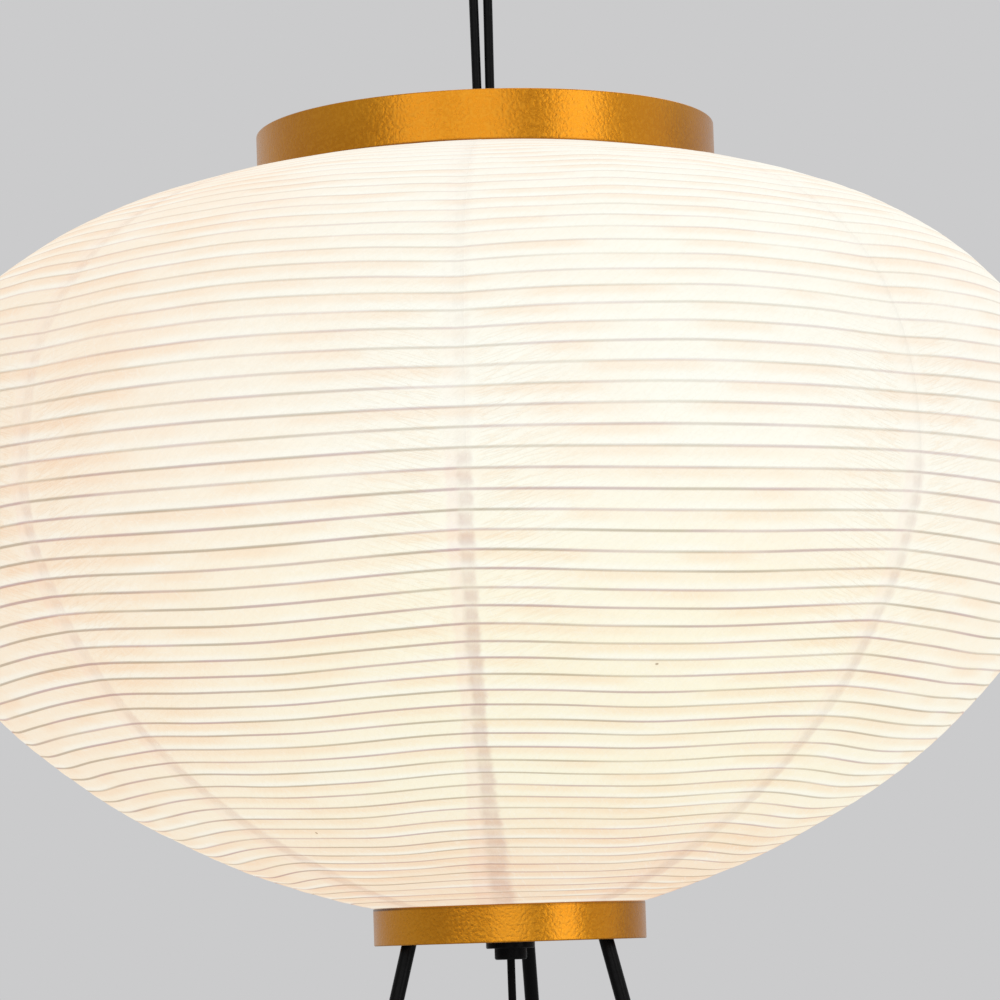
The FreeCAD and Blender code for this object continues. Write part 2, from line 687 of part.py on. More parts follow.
def make_stop():
    """The block that is clamped on the rods and carries the crown, and its screw."""
    body = new_body("crown_stop", z=STOP_LOW)
    block = new_sketch(body, "XY_Plane", "block")
    rectangle(block, "stop_length / 2", "stop_width / 2")
    pad(body, block, "stop_height")
    rod_window(body, STOP_LOW + " + stop_height", "stop_height")
    bore = new_sketch(body, "XZ_Plane", "bore", "stop_width / 2")
    circle(bore, "stop_screw_radius + fit_gap / 2", y="stop_height / 2")
    pocket(body, bore, "stop_width / 2 - rod_radius")
    end = size("stop_length / 2")
    rounded(
        body,
        "stop_round",
        lambda edge: upright(edge) and abs(abs(edge.Vertexes[0].Point.x) - end) < 1e-3,
    )
    front = size("-stop_width / 2")
    tip = size("-rod_radius - fit_gap")
    middle = size(STOP_LOW + " + stop_height / 2")
    inward = Vector(0, 1, 0)
    shank = Part.makeCylinder(size("stop_screw_radius"), tip - front, Vector(0, front, middle), inward)
    head_height = size("stop_screw_radius")
    head_start = Vector(0, front - head_height, middle)
    head = Part.makeCylinder(size("stop_screw_head"), head_height, head_start, inward)
    shaped("stop_screw", shank.fuse(head).removeSplitter())


def stretcher_side():
    """Points of the right half of the stretcher, from its foot up to the loop."""
    foot = size(PLATE_TOP)
    reach = size("rod_foot_reach")
    bow = size("rod_bow")
    heights = {
        name: size(f"{PLATE_TOP} + {name}")
        for name in ("shoulder_low", "shoulder_mid", "shoulder_high", "shoulder_top")
    }
    return [
        Vector(reach, 0, foot),
        Vector(reach, 0, heights["shoulder_low"]),
        Vector(bow, 0, heights["shoulder_mid"]),
        Vector(bow, 0, heights["shoulder_high"]),
        Vector(size("rod_pair_low"), 0, heights["shoulder_top"]),
        Vector(size("rod_pair_high"), 0, size(LOOP_START)),
    ]


def make_stretcher():
    """One bent rod: two feet, a bow round the bulb, a close pair through the crown and a loop."""
    right = stretcher_side()
    neck, loop = size("rod_neck_bend"), size("loop_radius")
    start = right[-1]
    lean = start - right[-2]
    lean.normalize()
    outward = Vector(lean.z, 0, -lean.x)
    turning = start + outward * neck
    centre = Vector(0, 0, turning.z + math.sqrt((neck + loop) ** 2 - turning.x**2))
    meeting = turning + (centre - turning) * (neck / (neck + loop))
    bisector = (start - turning) + (meeting - turning)
    bisector.normalize()

    def mirror(point):
        return Vector(-point.x, 0, point.z)

    rising, radii = rounded_path(right, size("rod_bend"))
    falling, radii = rounded_path([mirror(point) for point in right][::-1], size("rod_bend"))
    bend = (start, turning + bisector * neck, meeting)
    top = Vector(0, 0, centre.z + loop)
    edges = rising.OrderedEdges
    edges.append(Part.Arc(*bend).toShape())
    edges.append(Part.Arc(meeting, top, mirror(meeting)).toShape())
    edges.append(Part.Arc(mirror(meeting), mirror(bend[1]), mirror(start)).toShape())
    edges += falling.OrderedEdges
    shaped("stretcher_rod", tube_along(Part.Wire(edges), size("rod_radius")))
    ferrules = []
    for side in (-1, 1):
        place = Vector(side * size("rod_foot_reach"), 0, size(PLATE_TOP))
        outer = Part.makeCylinder(size("ferrule_radius"), size("ferrule_height"), place)
        bore = Part.makeCylinder(size("rod_radius + fit_gap"), size("ferrule_height"), place)
        ferrules.append(outer.cut(bore))
    shaped("stretcher_ferrules", Part.makeCompound(ferrules))


# ---- base, legs and feet ---------------------------------------------------------------------


def leg_axis(bearing):
    """The point of a leg's axis at the ring's lower edge, and the way it runs down."""
    angle, splay = math.radians(size(bearing)), math.radians(size("leg_splay"))
    outward = Vector(math.cos(angle), math.sin(angle), 0)
    down = outward * math.sin(splay) - UP * math.cos(splay)
    return outward * size("leg_reach") + UP * size("stand_height"), down


def along_leg(bearing, height):
    """The point of a leg's axis at a height."""
    point, down = leg_axis(bearing)
    return point + down * ((height - point.z) / down.z)


def make_base_spider(bearings):
    """The base plate: a hub, an arm to each leg and a round end with its hole."""
    low, thick = size(PLATE_LOW), size("plate_thickness")
    plate = Part.makeCylinder(size("plate_radius"), thick, UP * low)
    width = size("plate_arm_width")
    for bearing in bearings:
        centre = along_leg(bearing, low + thick / 2)
        reach = math.hypot(centre.x, centre.y)
        arm = Part.makeBox(reach, width, thick, Vector(0, -width / 2, low))
        arm.rotate(Vector(), UP, size(bearing))
        end = Part.makeCylinder(size("leg_pad_radius"), thick, Vector(centre.x, centre.y, low))
        plate = plate.fuse([arm, end])
    plate = plate.common(Part.makeCylinder(size(BOTTOM_BORE + " - fit_gap"), thick, UP * low))
    for bearing in bearings:
        point, down = leg_axis(bearing)
        start = point - down * size("socket_length * 2")
        hole = Part.makeCylinder(size("socket_radius + fit_gap"), size("socket_length * 3"), start, down)
        plate = plate.cut(hole)
    plate = plate.cut(Part.makeCylinder(size("riser_radius + fit_gap"), thick, UP * low))
    shaped("base_spider", plate.removeSplitter())


def make_legs(bearings):
    """Each leg rod with its threaded socket, lock nut and rubber foot."""
    radius = size("leg_radius")
    sockets, nuts = [], []
    for side, bearing in bearings.items():
        point, down = leg_axis(bearing)
        up = down * -1
        socket_lift = size("socket_radius") * math.sin(up.getAngle(UP))
        socket_low = along_leg(bearing, size(PLATE_LOW) + socket_lift)
        socket_top = socket_low + up * size("socket_length")
        nut_top = socket_top + up * size("leg_nut_height")
        foot_end = along_leg(bearing, size("leg_end_rise"))
        leg = doc.addObject("Part::Cylinder", f"leg_{side}")
        bind(leg, Radius="leg_radius")
        leg.Height = (nut_top - foot_end).Length
        leg.Placement = Placement(foot_end, Rotation(UP, up))
        keep(leg, f"leg_{side}")
        bore = radius + size("fit_gap")
        sockets.append(
            Part.makeCylinder(size("socket_radius"), size("socket_length"), socket_low, up).cut(
                Part.makeCylinder(bore, size("socket_length"), socket_low, up)
            )
        )
        nut = Part.makeCylinder(bore, size("leg_nut_height"), socket_top, up)
        nuts.append(hexagon(size("leg_nut_radius"), size("leg_nut_height"), socket_top, up).cut(nut))
        make_foot(side, bearing, foot_end, up)
    shaped("leg_sockets", Part.makeCompound(sockets))
    shaped("leg_nuts", Part.makeCompound(nuts))


def hexagon(radius, height, base, direction):
    """A six-sided prism."""
    angles = [side * math.pi / 3 for side in range(7)]
    corners = [Vector(radius * math.cos(angle), radius * math.sin(angle), 0) for angle in angles]
    prism = Part.Face(Part.makePolygon(corners)).extrude(UP * height)
    prism.Placement = Placement(base, Rotation(UP, direction))
    return prism


def make_foot(side, bearing, foot_end, up):
    """A rubber foot that stands flat and takes the slanting rod."""
    centre = along_leg(bearing, size("foot_height / 2"))
    height = size("foot_height")
    base = Vector(centre.x, centre.y, 0)
    foot = Part.makeCone(size("foot_radius"), size("foot_top_radius"), height, base)
    foot = foot.makeFillet(size("foot_round"), [edge for edge in foot.Edges if level_at(height)(edge)])
    bore = Part.makeCylinder(size("leg_radius + fit_gap"), height * 2, foot_end - up * size("fit_gap"), up)
    shaped(f"foot_{side}", foot.cut(bore))


# ---- hub, lamp holder and bulb ---------------------------------------------------------------


def make_hub():
    """The black flange and cord grip below the base spider, the riser and its nut above."""
    flange = turned(
        "hub_flange",
        tube_section("flange_radius", "riser_radius + fit_gap", "flange_drop + plate_rise - fit_gap / 2"),
        z=FLANGE_LOW,
    )
    rounded(flange, "flange_round", rim_of(size("flange_radius")))
    grip = turned(
        "cord_grip",
        tube_section("grip_radius", "cord_radius + fit_gap", "grip_height"),
        z=GRIP_LOW,
    )
    grip_rim = rim_of(size("grip_radius"))
    rounded(grip, "grip_round", lambda edge: level_at(0)(edge) and grip_rim(edge))
    turned(
        "riser_tube",
        tube_section("riser_radius", "riser_bore", "holder_rise + riser_grip + flange_drop - fit_gap"),
        z=FLANGE_LOW + " + fit_gap",
    )
    turned(
        "riser_washer",
        tube_section("washer_radius", "riser_radius + fit_gap", "washer_height"),
        z=PLATE_TOP,
    )
    height = size("riser_nut_height")
    nut = hexagon(size("riser_nut_radius"), height, UP * size(NUT_LOW), UP)
    nut = nut.cut(Part.makeCylinder(size("riser_radius + fit_gap"), height, UP * size(NUT_LOW)))
    shaped("riser_nut", nut)
    flex = doc.addObject("Part::Cylinder", "inner_flex")
    bind(
        flex,
        Radius="cord_radius",
        Height=f"{INSERT_LOW} - ({GRIP_LOW}) - fit_gap",
        Placement__Base__z=GRIP_LOW,
    )
    keep(flex, "inner_flex")


def make_holder():
    """The lamp holder: cap, sleeve, ceramic insert, threaded shell and centre contact."""
    turned(
        "holder_cap",
        [
            ("riser_radius + fit_gap", "0"),
            ("holder_radius", "0"),
            ("holder_radius", "holder_cap_height"),
            ("holder_radius - holder_wall", "holder_cap_height"),
            ("holder_radius - holder_wall", "holder_cap_floor"),
            ("riser_radius + fit_gap", "holder_cap_floor"),
        ],
        z=HOLDER_LOW,
    )
    turned(
        "holder_sleeve",
        tube_section(SLEEVE_RADIUS, SLEEVE_RADIUS + " - holder_wall", "sleeve_height"),
        z=SLEEVE_LOW,
    )
    insert = SLEEVE_RADIUS + " - holder_wall - fit_gap"
    turned("holder_insert", disc_section(insert, "insert_height"), z=INSERT_LOW)
    turned(
        "screw_shell",
        tube_section("screw_shell_radius", "screw_shell_radius - screw_shell_wall", "screw_shell_height"),
        z=INSERT_TOP,
    )
    turned(
        "centre_contact",
        [
            ("0", "0"),
            ("contact_radius", "0"),
            ("contact_radius", "contact_height / 2"),
            ("contact_radius / 2", "contact_height"),
            ("0", "contact_height"),
        ],
        z=INSERT_TOP,
    )


def make_bulb():
    """The opal LED globe with its neck, board, screw cap and contact end."""
    turned(
        "bulb_tip",
        [
            ("0", "0"),
            ("bulb_tip_radius", "0"),
            ("bulb_tip_seat", "bulb_tip_height"),
            ("0", "bulb_tip_height"),
        ],
        z=BULB_TIP_LOW,
    )
    turned("bulb_cap", disc_section(BULB_CAP_RADIUS, "bulb_cap_height"), z=BULB_CAP_LOW)
    turned(
        "bulb_neck",
        [
            ("0", "0"),
            (BULB_CAP_RADIUS + " + bulb_neck_lip", "0"),
            ("bulb_neck_radius", "bulb_neck_height"),
            ("0", "bulb_neck_height"),
        ],
        z=BULB_NECK_LOW,
    )
    top = size(BULB_NECK_TOP)
    board = doc.addObject("Part::Cylinder", "led_board")
    bind(
        board,
        Radius="bulb_neck_radius - led_board_inset",
        Height="led_board_height",
        Placement__Base__z=BULB_NECK_TOP,
    )
    keep(board, "led_board")
    outer, inner = size("bulb_radius"), size("bulb_radius - bulb_wall")
    centre = UP * (top + math.sqrt(outer**2 - size("bulb_neck_radius") ** 2))
    globe = Part.makeSphere(outer, centre).cut(Part.makeSphere(inner, centre))
    below = Part.makeBox(2 * outer, 2 * outer, outer, Vector(-outer, -outer, top - outer))
    shaped("bulb_globe", globe.cut(below))


# ---- cord, foot switch and plug --------------------------------------------------------------

# The cord from the grip down to the floor and on to the foot switch, in millimetres.
UPPER_CORD = (
    (0, 0, 790.5),
    (0, 0, 752),
    (1.6, 0.6, 696),
    (5, 2.8, 636),
    (8, 6.8, 576),
    (8.8, 11.8, 516),
    (7, 16.6, 456),
    (3.2, 20, 396),
    (0, 23.6, 336),
    (-1.2, 29, 277),
    (0, 37.6, 219),
    (3.2, 50, 163),
    (7.5, 67, 112),
    (12.5, 87, 70),
    (19, 106, 38),
    (27, 125, 14.5),
    (34.5, 143.5, 3.6),
    (33, 166, 2.3),
    (15, 183, 3.4),
    (2, 186, 8),
    (-16, 186, 8),
)
# The cord from the foot switch to the coil.
MIDDLE_CORD = (
    (-128, 186, 8),
    (-144, 186, 8),
    (-159, 182.5, 3.4),
    (-175, 169, 2.3),
    (-183.5, 146, 2.3),
    (-185.6, 119, 2.7),
    (-184.887, 92, 3.2),
    (-184.887, 64.4, 3.2),
)
# The cord from the coil to the plug.
TAIL_CORD = (
    (-180.037, 55.6, 8.05),
    (-180.037, 35, 8.05),
    (-179.4, 14, 3.4),
    (-177.5, -6, 2.3),
    (-174.6, -27, 3.4),
    (-173, -46, 6.8),
    (-173, -62, 6.8),
)


def make_cord(label, points):
    """A free stretch of the cord."""
    path, radii = rounded_path([Vector(*point) for point in points])
    report_path(label, path, radii)
    shaped(label, tube_along(path, size("cord_radius")))


def joined(points, start, end):
    """A route with its two ends put on the pieces that they meet."""
    return (tuple(start),) + tuple(points[1:-1]) + (tuple(end),)


def coil_path():
    """Half turns spiralling inward on the lower layer, one that climbs, and half turns outward."""
    pitch = size("2 * cord_radius + cord_gap")
    turns = int(size("coil_turns_in"))
    outer = size("coil_middle_radius") + pitch * turns / 4
    low, high = size(COIL_LOW), size(COIL_HIGH)
    lead = size("2 * cord_radius")
    point = Vector(size("coil_x") - outer, size("coil_y"), low)
    radius = outer
    way = -1
    edges = [Part.LineSegment(point + Vector(0, lead, 0), point).toShape()]
    for count in range(2 * turns):
        climbing = count == turns
        across = Vector(-way * 2 * radius, 0, 0)
        end = point + across
        if climbing:
            end = end + UP * (high - low)
            edges += biarc(point, Vector(0, way, 0), end, Vector(0, -way, 0))
        else:
            middle = point + across / 2 + Vector(0, way * radius, 0)
            edges.append(Part.Arc(point, middle, end).toShape())
        radius += -pitch / 2 if count < turns else pitch / 2
        point = end
        way = -way
    edges.append(Part.LineSegment(point, point + Vector(0, -lead, 0)).toShape())
    return Part.Wire(edges)


def make_coil():
    """The put-away length in two layers of turns, and the strap that ties them."""
    path = coil_path()
    radius = size("cord_radius")
    gap = gap_to_itself(path, radius, size("coil_middle_radius * 2"))
    print(f"cord_coil: {path.Length:.0f} mm long, least gap to itself {gap:.2f} mm")
    print("cord_coil ends:", *(tuple(round(c, 3) for c in path.OrderedVertexes[i].Point) for i in (0, -1)))
    shaped("cord_coil", tube_along(path, radius))
    pitch = size("2 * cord_radius + cord_gap")
    half_band = pitch * size("coil_turns_in") / 4
    inner = Vector(
        2 * (half_band + radius + size("fit_gap")) + pitch / 2,
        size("tie_width"),
        size(f"{COIL_HIGH} + cord_radius"),
    )
    thick = size("tie_thickness")
    middle = size("coil_x + coil_middle_radius")
    corner = Vector(middle - inner.x / 2, size("coil_y") - inner.y / 2, thick)
    hole = Part.makeBox(inner.x, inner.y, inner.z + size("fit_gap") - thick, corner)
    band = Part.makeBox(
        inner.x + 2 * thick,
        inner.y,
        inner.z + size("fit_gap") + thick,
        Vector(corner.x - thick, corner.y, 0),
    )
    band = band.makeFillet(size("tie_round"), [edge for edge in band.Edges if along_y(edge)])
    hole = hole.makeFillet(size("tie_round - tie_thickness"), [edge for edge in hole.Edges if along_y(edge)])
    shaped("coil_tie", band.cut(hole))
    return path.OrderedVertexes[0].Point, path.OrderedVertexes[-1].Point


def make_switch():
    """The two halves of the foot switch and its button."""
    wall = "switch_wall"
    for label, low, height in (
        ("switch_base", "0", "switch_base_height"),
        ("switch_cover", "switch_base_height", "switch_cover_height"),
    ):
        body = new_body(label, "switch_x", "switch_y", low)
        plan = new_sketch(body, "XY_Plane", "plan")
        rectangle(plan, "switch_length / 2", "switch_width / 2")
        pad(body, plan, height)
        rounded(body, "switch_round", upright)
        if label == "switch_cover":
            rounded(body, "switch_top_round", level_at(size(height)))
        ceiling = height if label == "switch_base" else f"{height} - {wall}"
        inside = new_sketch(body, "XY_Plane", "inside", ceiling)
        half_length, half_width = f"switch_length / 2 - {wall}", f"switch_width / 2 - {wall}"
        cut_rectangle(inside, half_length, half_width, "switch_corner_cut")
        pocket(body, inside, f"{height} - {wall}")
        boss = new_sketch(body, "XY_Plane", "boss")
        screw_circles(boss, "switch_boss_radius")
        pad(body, boss, ceiling)
        shank = new_sketch(body, "XY_Plane", "shank", ceiling)
        screw_circles(shank, "switch_screw_radius + fit_gap / 2")
        pocket(body, shank, ceiling)
        if label == "switch_base":
            sink = new_sketch(body, "XY_Plane", "sink", "switch_screw_sink")
            screw_circles(sink, "switch_screw_head + fit_gap")
            pocket(body, sink, "switch_screw_sink")
        else:
            hole = new_sketch(body, "XY_Plane", "hole", height)
            circle(hole, "button_radius + fit_gap")
            pocket(body, hole, wall)
    make_button()
    make_switch_inside()


def make_button():
    """The round foot button with the rim that keeps it under the cover."""
    height = f"{BUTTON_TOP} - ({BUTTON_LOW})"
    button = turned(
        "switch_button",
        [
            ("0", "spring_seat"),
            ("spring_radius + spring_wire + spring_seat", "spring_seat"),
            ("spring_radius + spring_wire + spring_seat", "0"),
            ("button_flange", "0"),
            ("button_flange", "button_skirt"),
            ("button_radius", "button_skirt"),
            ("button_radius", height),
            ("0", height),
        ],
        "switch_x",
        "switch_y",
        BUTTON_LOW,
    )
    top = size(height)
    rounded(button, "button_round", lambda edge: level_at(top)(edge) and len(edge.Vertexes) == 1)


def relief_cone(base, direction):
    """A tapered strain relief."""
    return Part.makeCone(
        size("relief_radius"), size("relief_tip_radius"), size("relief_length"), base, direction
    )


def make_switch_inside():
    """Spring, contacts and screws of the foot switch, and its two strain reliefs."""
    centre = Vector(size("switch_x"), size("switch_y"), 0)
    wire, radius = size("spring_wire"), size("spring_radius")
    low = size("switch_wall") + wire + size("fit_gap")
    high = size(BUTTON_LOW + " + spring_seat") - wire - size("fit_gap")
    quarters = 4 * int(size("spring_turns"))
    climb = (high - low) / quarters
    run = math.pi / 2 * radius

    def place(step):
        angle = step * math.pi / 2
        return centre + Vector(radius * math.cos(angle), radius * math.sin(angle), low + climb * step)

    def heading(step):
        angle = step * math.pi / 2
        direction = Vector(-math.sin(angle) * run, math.cos(angle) * run, climb)
        direction.normalize()
        return direction

    edges = []
    for step in range(quarters):
        edges += biarc(place(step), heading(step), place(step + 1), heading(step + 1))
    shaped("switch_spring", tube_along(Part.Wire(edges), wire))
    contacts, screws, reliefs = [], [], []
    floor = size("switch_wall")
    sunk = size("switch_screw_sink - switch_screw_cap - fit_gap")
    for side in (-1, 1):
        length, width = size("contact_length"), size("contact_width")
        near = side * size("contact_offset") - length / 2
        corner = centre + Vector(near, size("button_radius / 2"), floor)
        contacts.append(Part.makeBox(length, width, size("contact_thickness"), corner))
        base = centre + Vector(side * size("switch_screw_offset"), 0, sunk)
        head = Part.makeCylinder(size("switch_screw_head"), size("switch_screw_cap"), base)
        shank = Part.makeCylinder(size("switch_screw_radius"), size(SWITCH_TOP + " - 2 * switch_wall"), base)
        screws.append(head.fuse(shank).removeSplitter())
        outside = centre + Vector(side * size("switch_length / 2"), 0, size("switch_base_height"))
        reliefs.append(relief_cone(outside, Vector(side, 0, 0)))
    shaped("switch_contacts", Part.makeCompound(contacts))
    shaped("switch_screws", Part.makeCompound(screws))
    shaped("switch_reliefs", Part.makeCompound(reliefs))


def make_plug():
    """A flat two-pin plug that lies on its side, with its strain relief."""
    back = Vector(size("plug_x"), size("plug_y"), size("plug_thickness / 2"))
    forward = Vector(0, -1, 0)

    def face(width, thickness, distance):
        x, z = width / 2, thickness / 2
        centre = back + forward * distance
        signs = ((-1, -1), (1, -1), (1, 1), (-1, 1), (-1, -1))
        return Part.makePolygon([centre + Vector(a * x, 0, b * z) for a, b in signs])

    length = size("plug_length")
    sections = [
        face(size("plug_back_width"), size("plug_back_thickness"), 0),
        face(size("plug_width"), size("plug_thickness"), size("plug_taper")),
        face(size("plug_width"), size("plug_thickness"), length),
    ]
    body = Part.makeLoft(sections, True, True)
    body = body.makeFillet(size("plug_round"), [edge for edge in body.Edges if along_y(edge)])
    pins = []
    for side in (-1, 1):
        root = back + forward * (length - size("pin_root")) + Vector(side * size("pin_pitch / 2"), 0, 0)
        whole = size("pin_length + pin_root")
        body = body.cut(Part.makeCylinder(size("pin_radius + fit_gap / 2"), whole, root, forward))
        pin = Part.makeCylinder(size("pin_radius"), whole, root, forward)
        tip = root.y - whole
        tip_edges = [edge for edge in pin.Edges if edge.BoundBox.YMax < tip + 1e-3]
        pins.append(pin.makeFillet(size("pin_round"), tip_edges))
    shaped("plug_body", body)
    shaped("plug_pins", Part.makeCompound(pins))
    shaped("plug_relief", relief_cone(back, forward * -1))


def make_cords():
    """The coil, and the free stretches between grip, foot switch, coil and plug."""
    entry, leave = make_coil()
    port = size("switch_length / 2 + relief_length")
    level = size("switch_base_height")
    right_port = Vector(size("switch_x") + port, size("switch_y"), level)
    left_port = Vector(size("switch_x") - port, size("switch_y"), level)
    plug_port = Vector(size("plug_x"), size("plug_y + relief_length"), size("plug_thickness / 2"))
    make_cord("cord_upper", joined(UPPER_CORD, Vector(0, 0, size(GRIP_LOW)), right_port))
    make_cord("cord_middle", joined(MIDDLE_CORD, left_port, entry))
    make_cord("cord_tail", joined(TAIL_CORD, leave, plug_port))


# ---- the whole lamp --------------------------------------------------------------------------


def check_document():
    """Stop on any failed object, and on any empty or invalid piece."""
    for item in doc.Objects:
        if {"Invalid", "Error"} & set(item.State):
            raise RuntimeError(f"{item.Label} failed: {item.State}")
    for piece in pieces:
        if piece.Shape.isNull() or not piece.Shape.isValid() or not piece.Shape.Solids:
            raise RuntimeError(f"{piece.Label} has no valid solid")


def main():
    """Build every piece, check it and write it out."""
    fill_sheet()
    make_rings()
    profile = Profile()
    make_gores(profile)
    make_hoops(profile)
    make_crown()
    make_stop()
    make_stretcher()
    bearings = {side: f"leg_bearing_{side}" for side in ("left", "right", "back")}
    make_base_spider(bearings.values())
    make_legs(bearings)
    make_hub()
    make_holder()
    make_bulb()
    make_switch()
    make_plug()
    make_cords()
    doc.recompute()
    check_document()
    os.makedirs("parts", exist_ok=True)
    for piece in pieces:
        piece.Shape.exportStep(os.path.join("parts", piece.Label + ".step"))
    print(f"{len(pieces)} pieces written")


main()
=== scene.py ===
"""Paper lantern floor lamp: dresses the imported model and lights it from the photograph's viewpoint."""

import logging
import math
from dataclasses import dataclass, field
from enum import Enum
from typing import Iterable, Sequence, Union

import bpy
import numpy as np
from mathutils import Matrix, Vector, noise


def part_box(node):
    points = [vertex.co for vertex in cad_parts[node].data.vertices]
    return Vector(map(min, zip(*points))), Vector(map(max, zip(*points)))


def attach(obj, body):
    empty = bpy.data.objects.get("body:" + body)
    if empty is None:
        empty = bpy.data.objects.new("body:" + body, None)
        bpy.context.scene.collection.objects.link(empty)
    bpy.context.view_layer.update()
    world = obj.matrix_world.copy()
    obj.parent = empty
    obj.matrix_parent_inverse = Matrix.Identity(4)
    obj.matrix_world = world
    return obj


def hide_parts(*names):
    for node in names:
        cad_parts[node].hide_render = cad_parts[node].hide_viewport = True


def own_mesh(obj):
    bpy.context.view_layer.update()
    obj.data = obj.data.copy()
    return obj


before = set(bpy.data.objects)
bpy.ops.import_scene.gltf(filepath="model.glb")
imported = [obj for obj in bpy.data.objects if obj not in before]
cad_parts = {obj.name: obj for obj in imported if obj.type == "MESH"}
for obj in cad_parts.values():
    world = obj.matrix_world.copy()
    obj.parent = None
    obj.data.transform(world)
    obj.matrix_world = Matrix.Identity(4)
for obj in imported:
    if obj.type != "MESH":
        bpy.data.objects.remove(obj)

LOG = logging.getLogger("paper_lantern_lamp")
LAMP = "lamp"
RIB_GAPS = 65

Colour = tuple[float, float, float]
Point = tuple[float, float, float]
Value = Union[float, bpy.types.NodeSocket]
Shade3 = Union[Colour, bpy.types.NodeSocket]


class Slot(Enum):
    """Names of five material slots; nothing in this script reads them."""

    PAPER = "washi"
    RIB = "rib_wire"
    SHEATH = "cord_sheath"
    STRAP = "tie_strap"
    STEEL = "zinc_steel"


class Coat(Enum):
    """The lamp's finishes, by the names of their materials."""

    PAPER = "washi_paper"
    GOLD = "gold_lacquer"
    GLOBE = "opal_globe"
    ENAMEL = "black_enamel"
    RIB = "rib_enamel"
    STEEL = "zinc_plating"
    RUBBER = "foot_rubber"
    MOULDED = "moulded_black"
    SHEATH = "cord_sheath"
    BUTTON = "button_grey"
    CERAMIC = "fired_ceramic"
    BRASS = "turned_brass"
    NICKEL = "nickel_plating"
    BULB_WHITE = "bulb_plastic"
    STRAP = "strap_nylon"


@dataclass(frozen=True)
class Ramp:
    """An eased change from one limit of a value to another, and the result at each."""

    low: float
    high: float
    at_low: float = 0.0
    at_high: float = 1.0


def linear(red: int, green: int, blue: int) -> Colour:
    """Turn a display colour into the linear one that shaders use.

    Args:
        red: Red from 0 to 255.
        green: Green from 0 to 255.
        blue: Blue from 0 to 255.

    Returns:
        The same colour in linear light.
    """

    def channel(value: int) -> float:
        """One channel in linear light."""
        share = value / 255
        return share / 12.92 if share <= 0.04045 else ((share + 0.055) / 1.055) ** 2.4

    return channel(red), channel(green), channel(blue)


# ---- node graphs -----------------------------------------------------------------------------


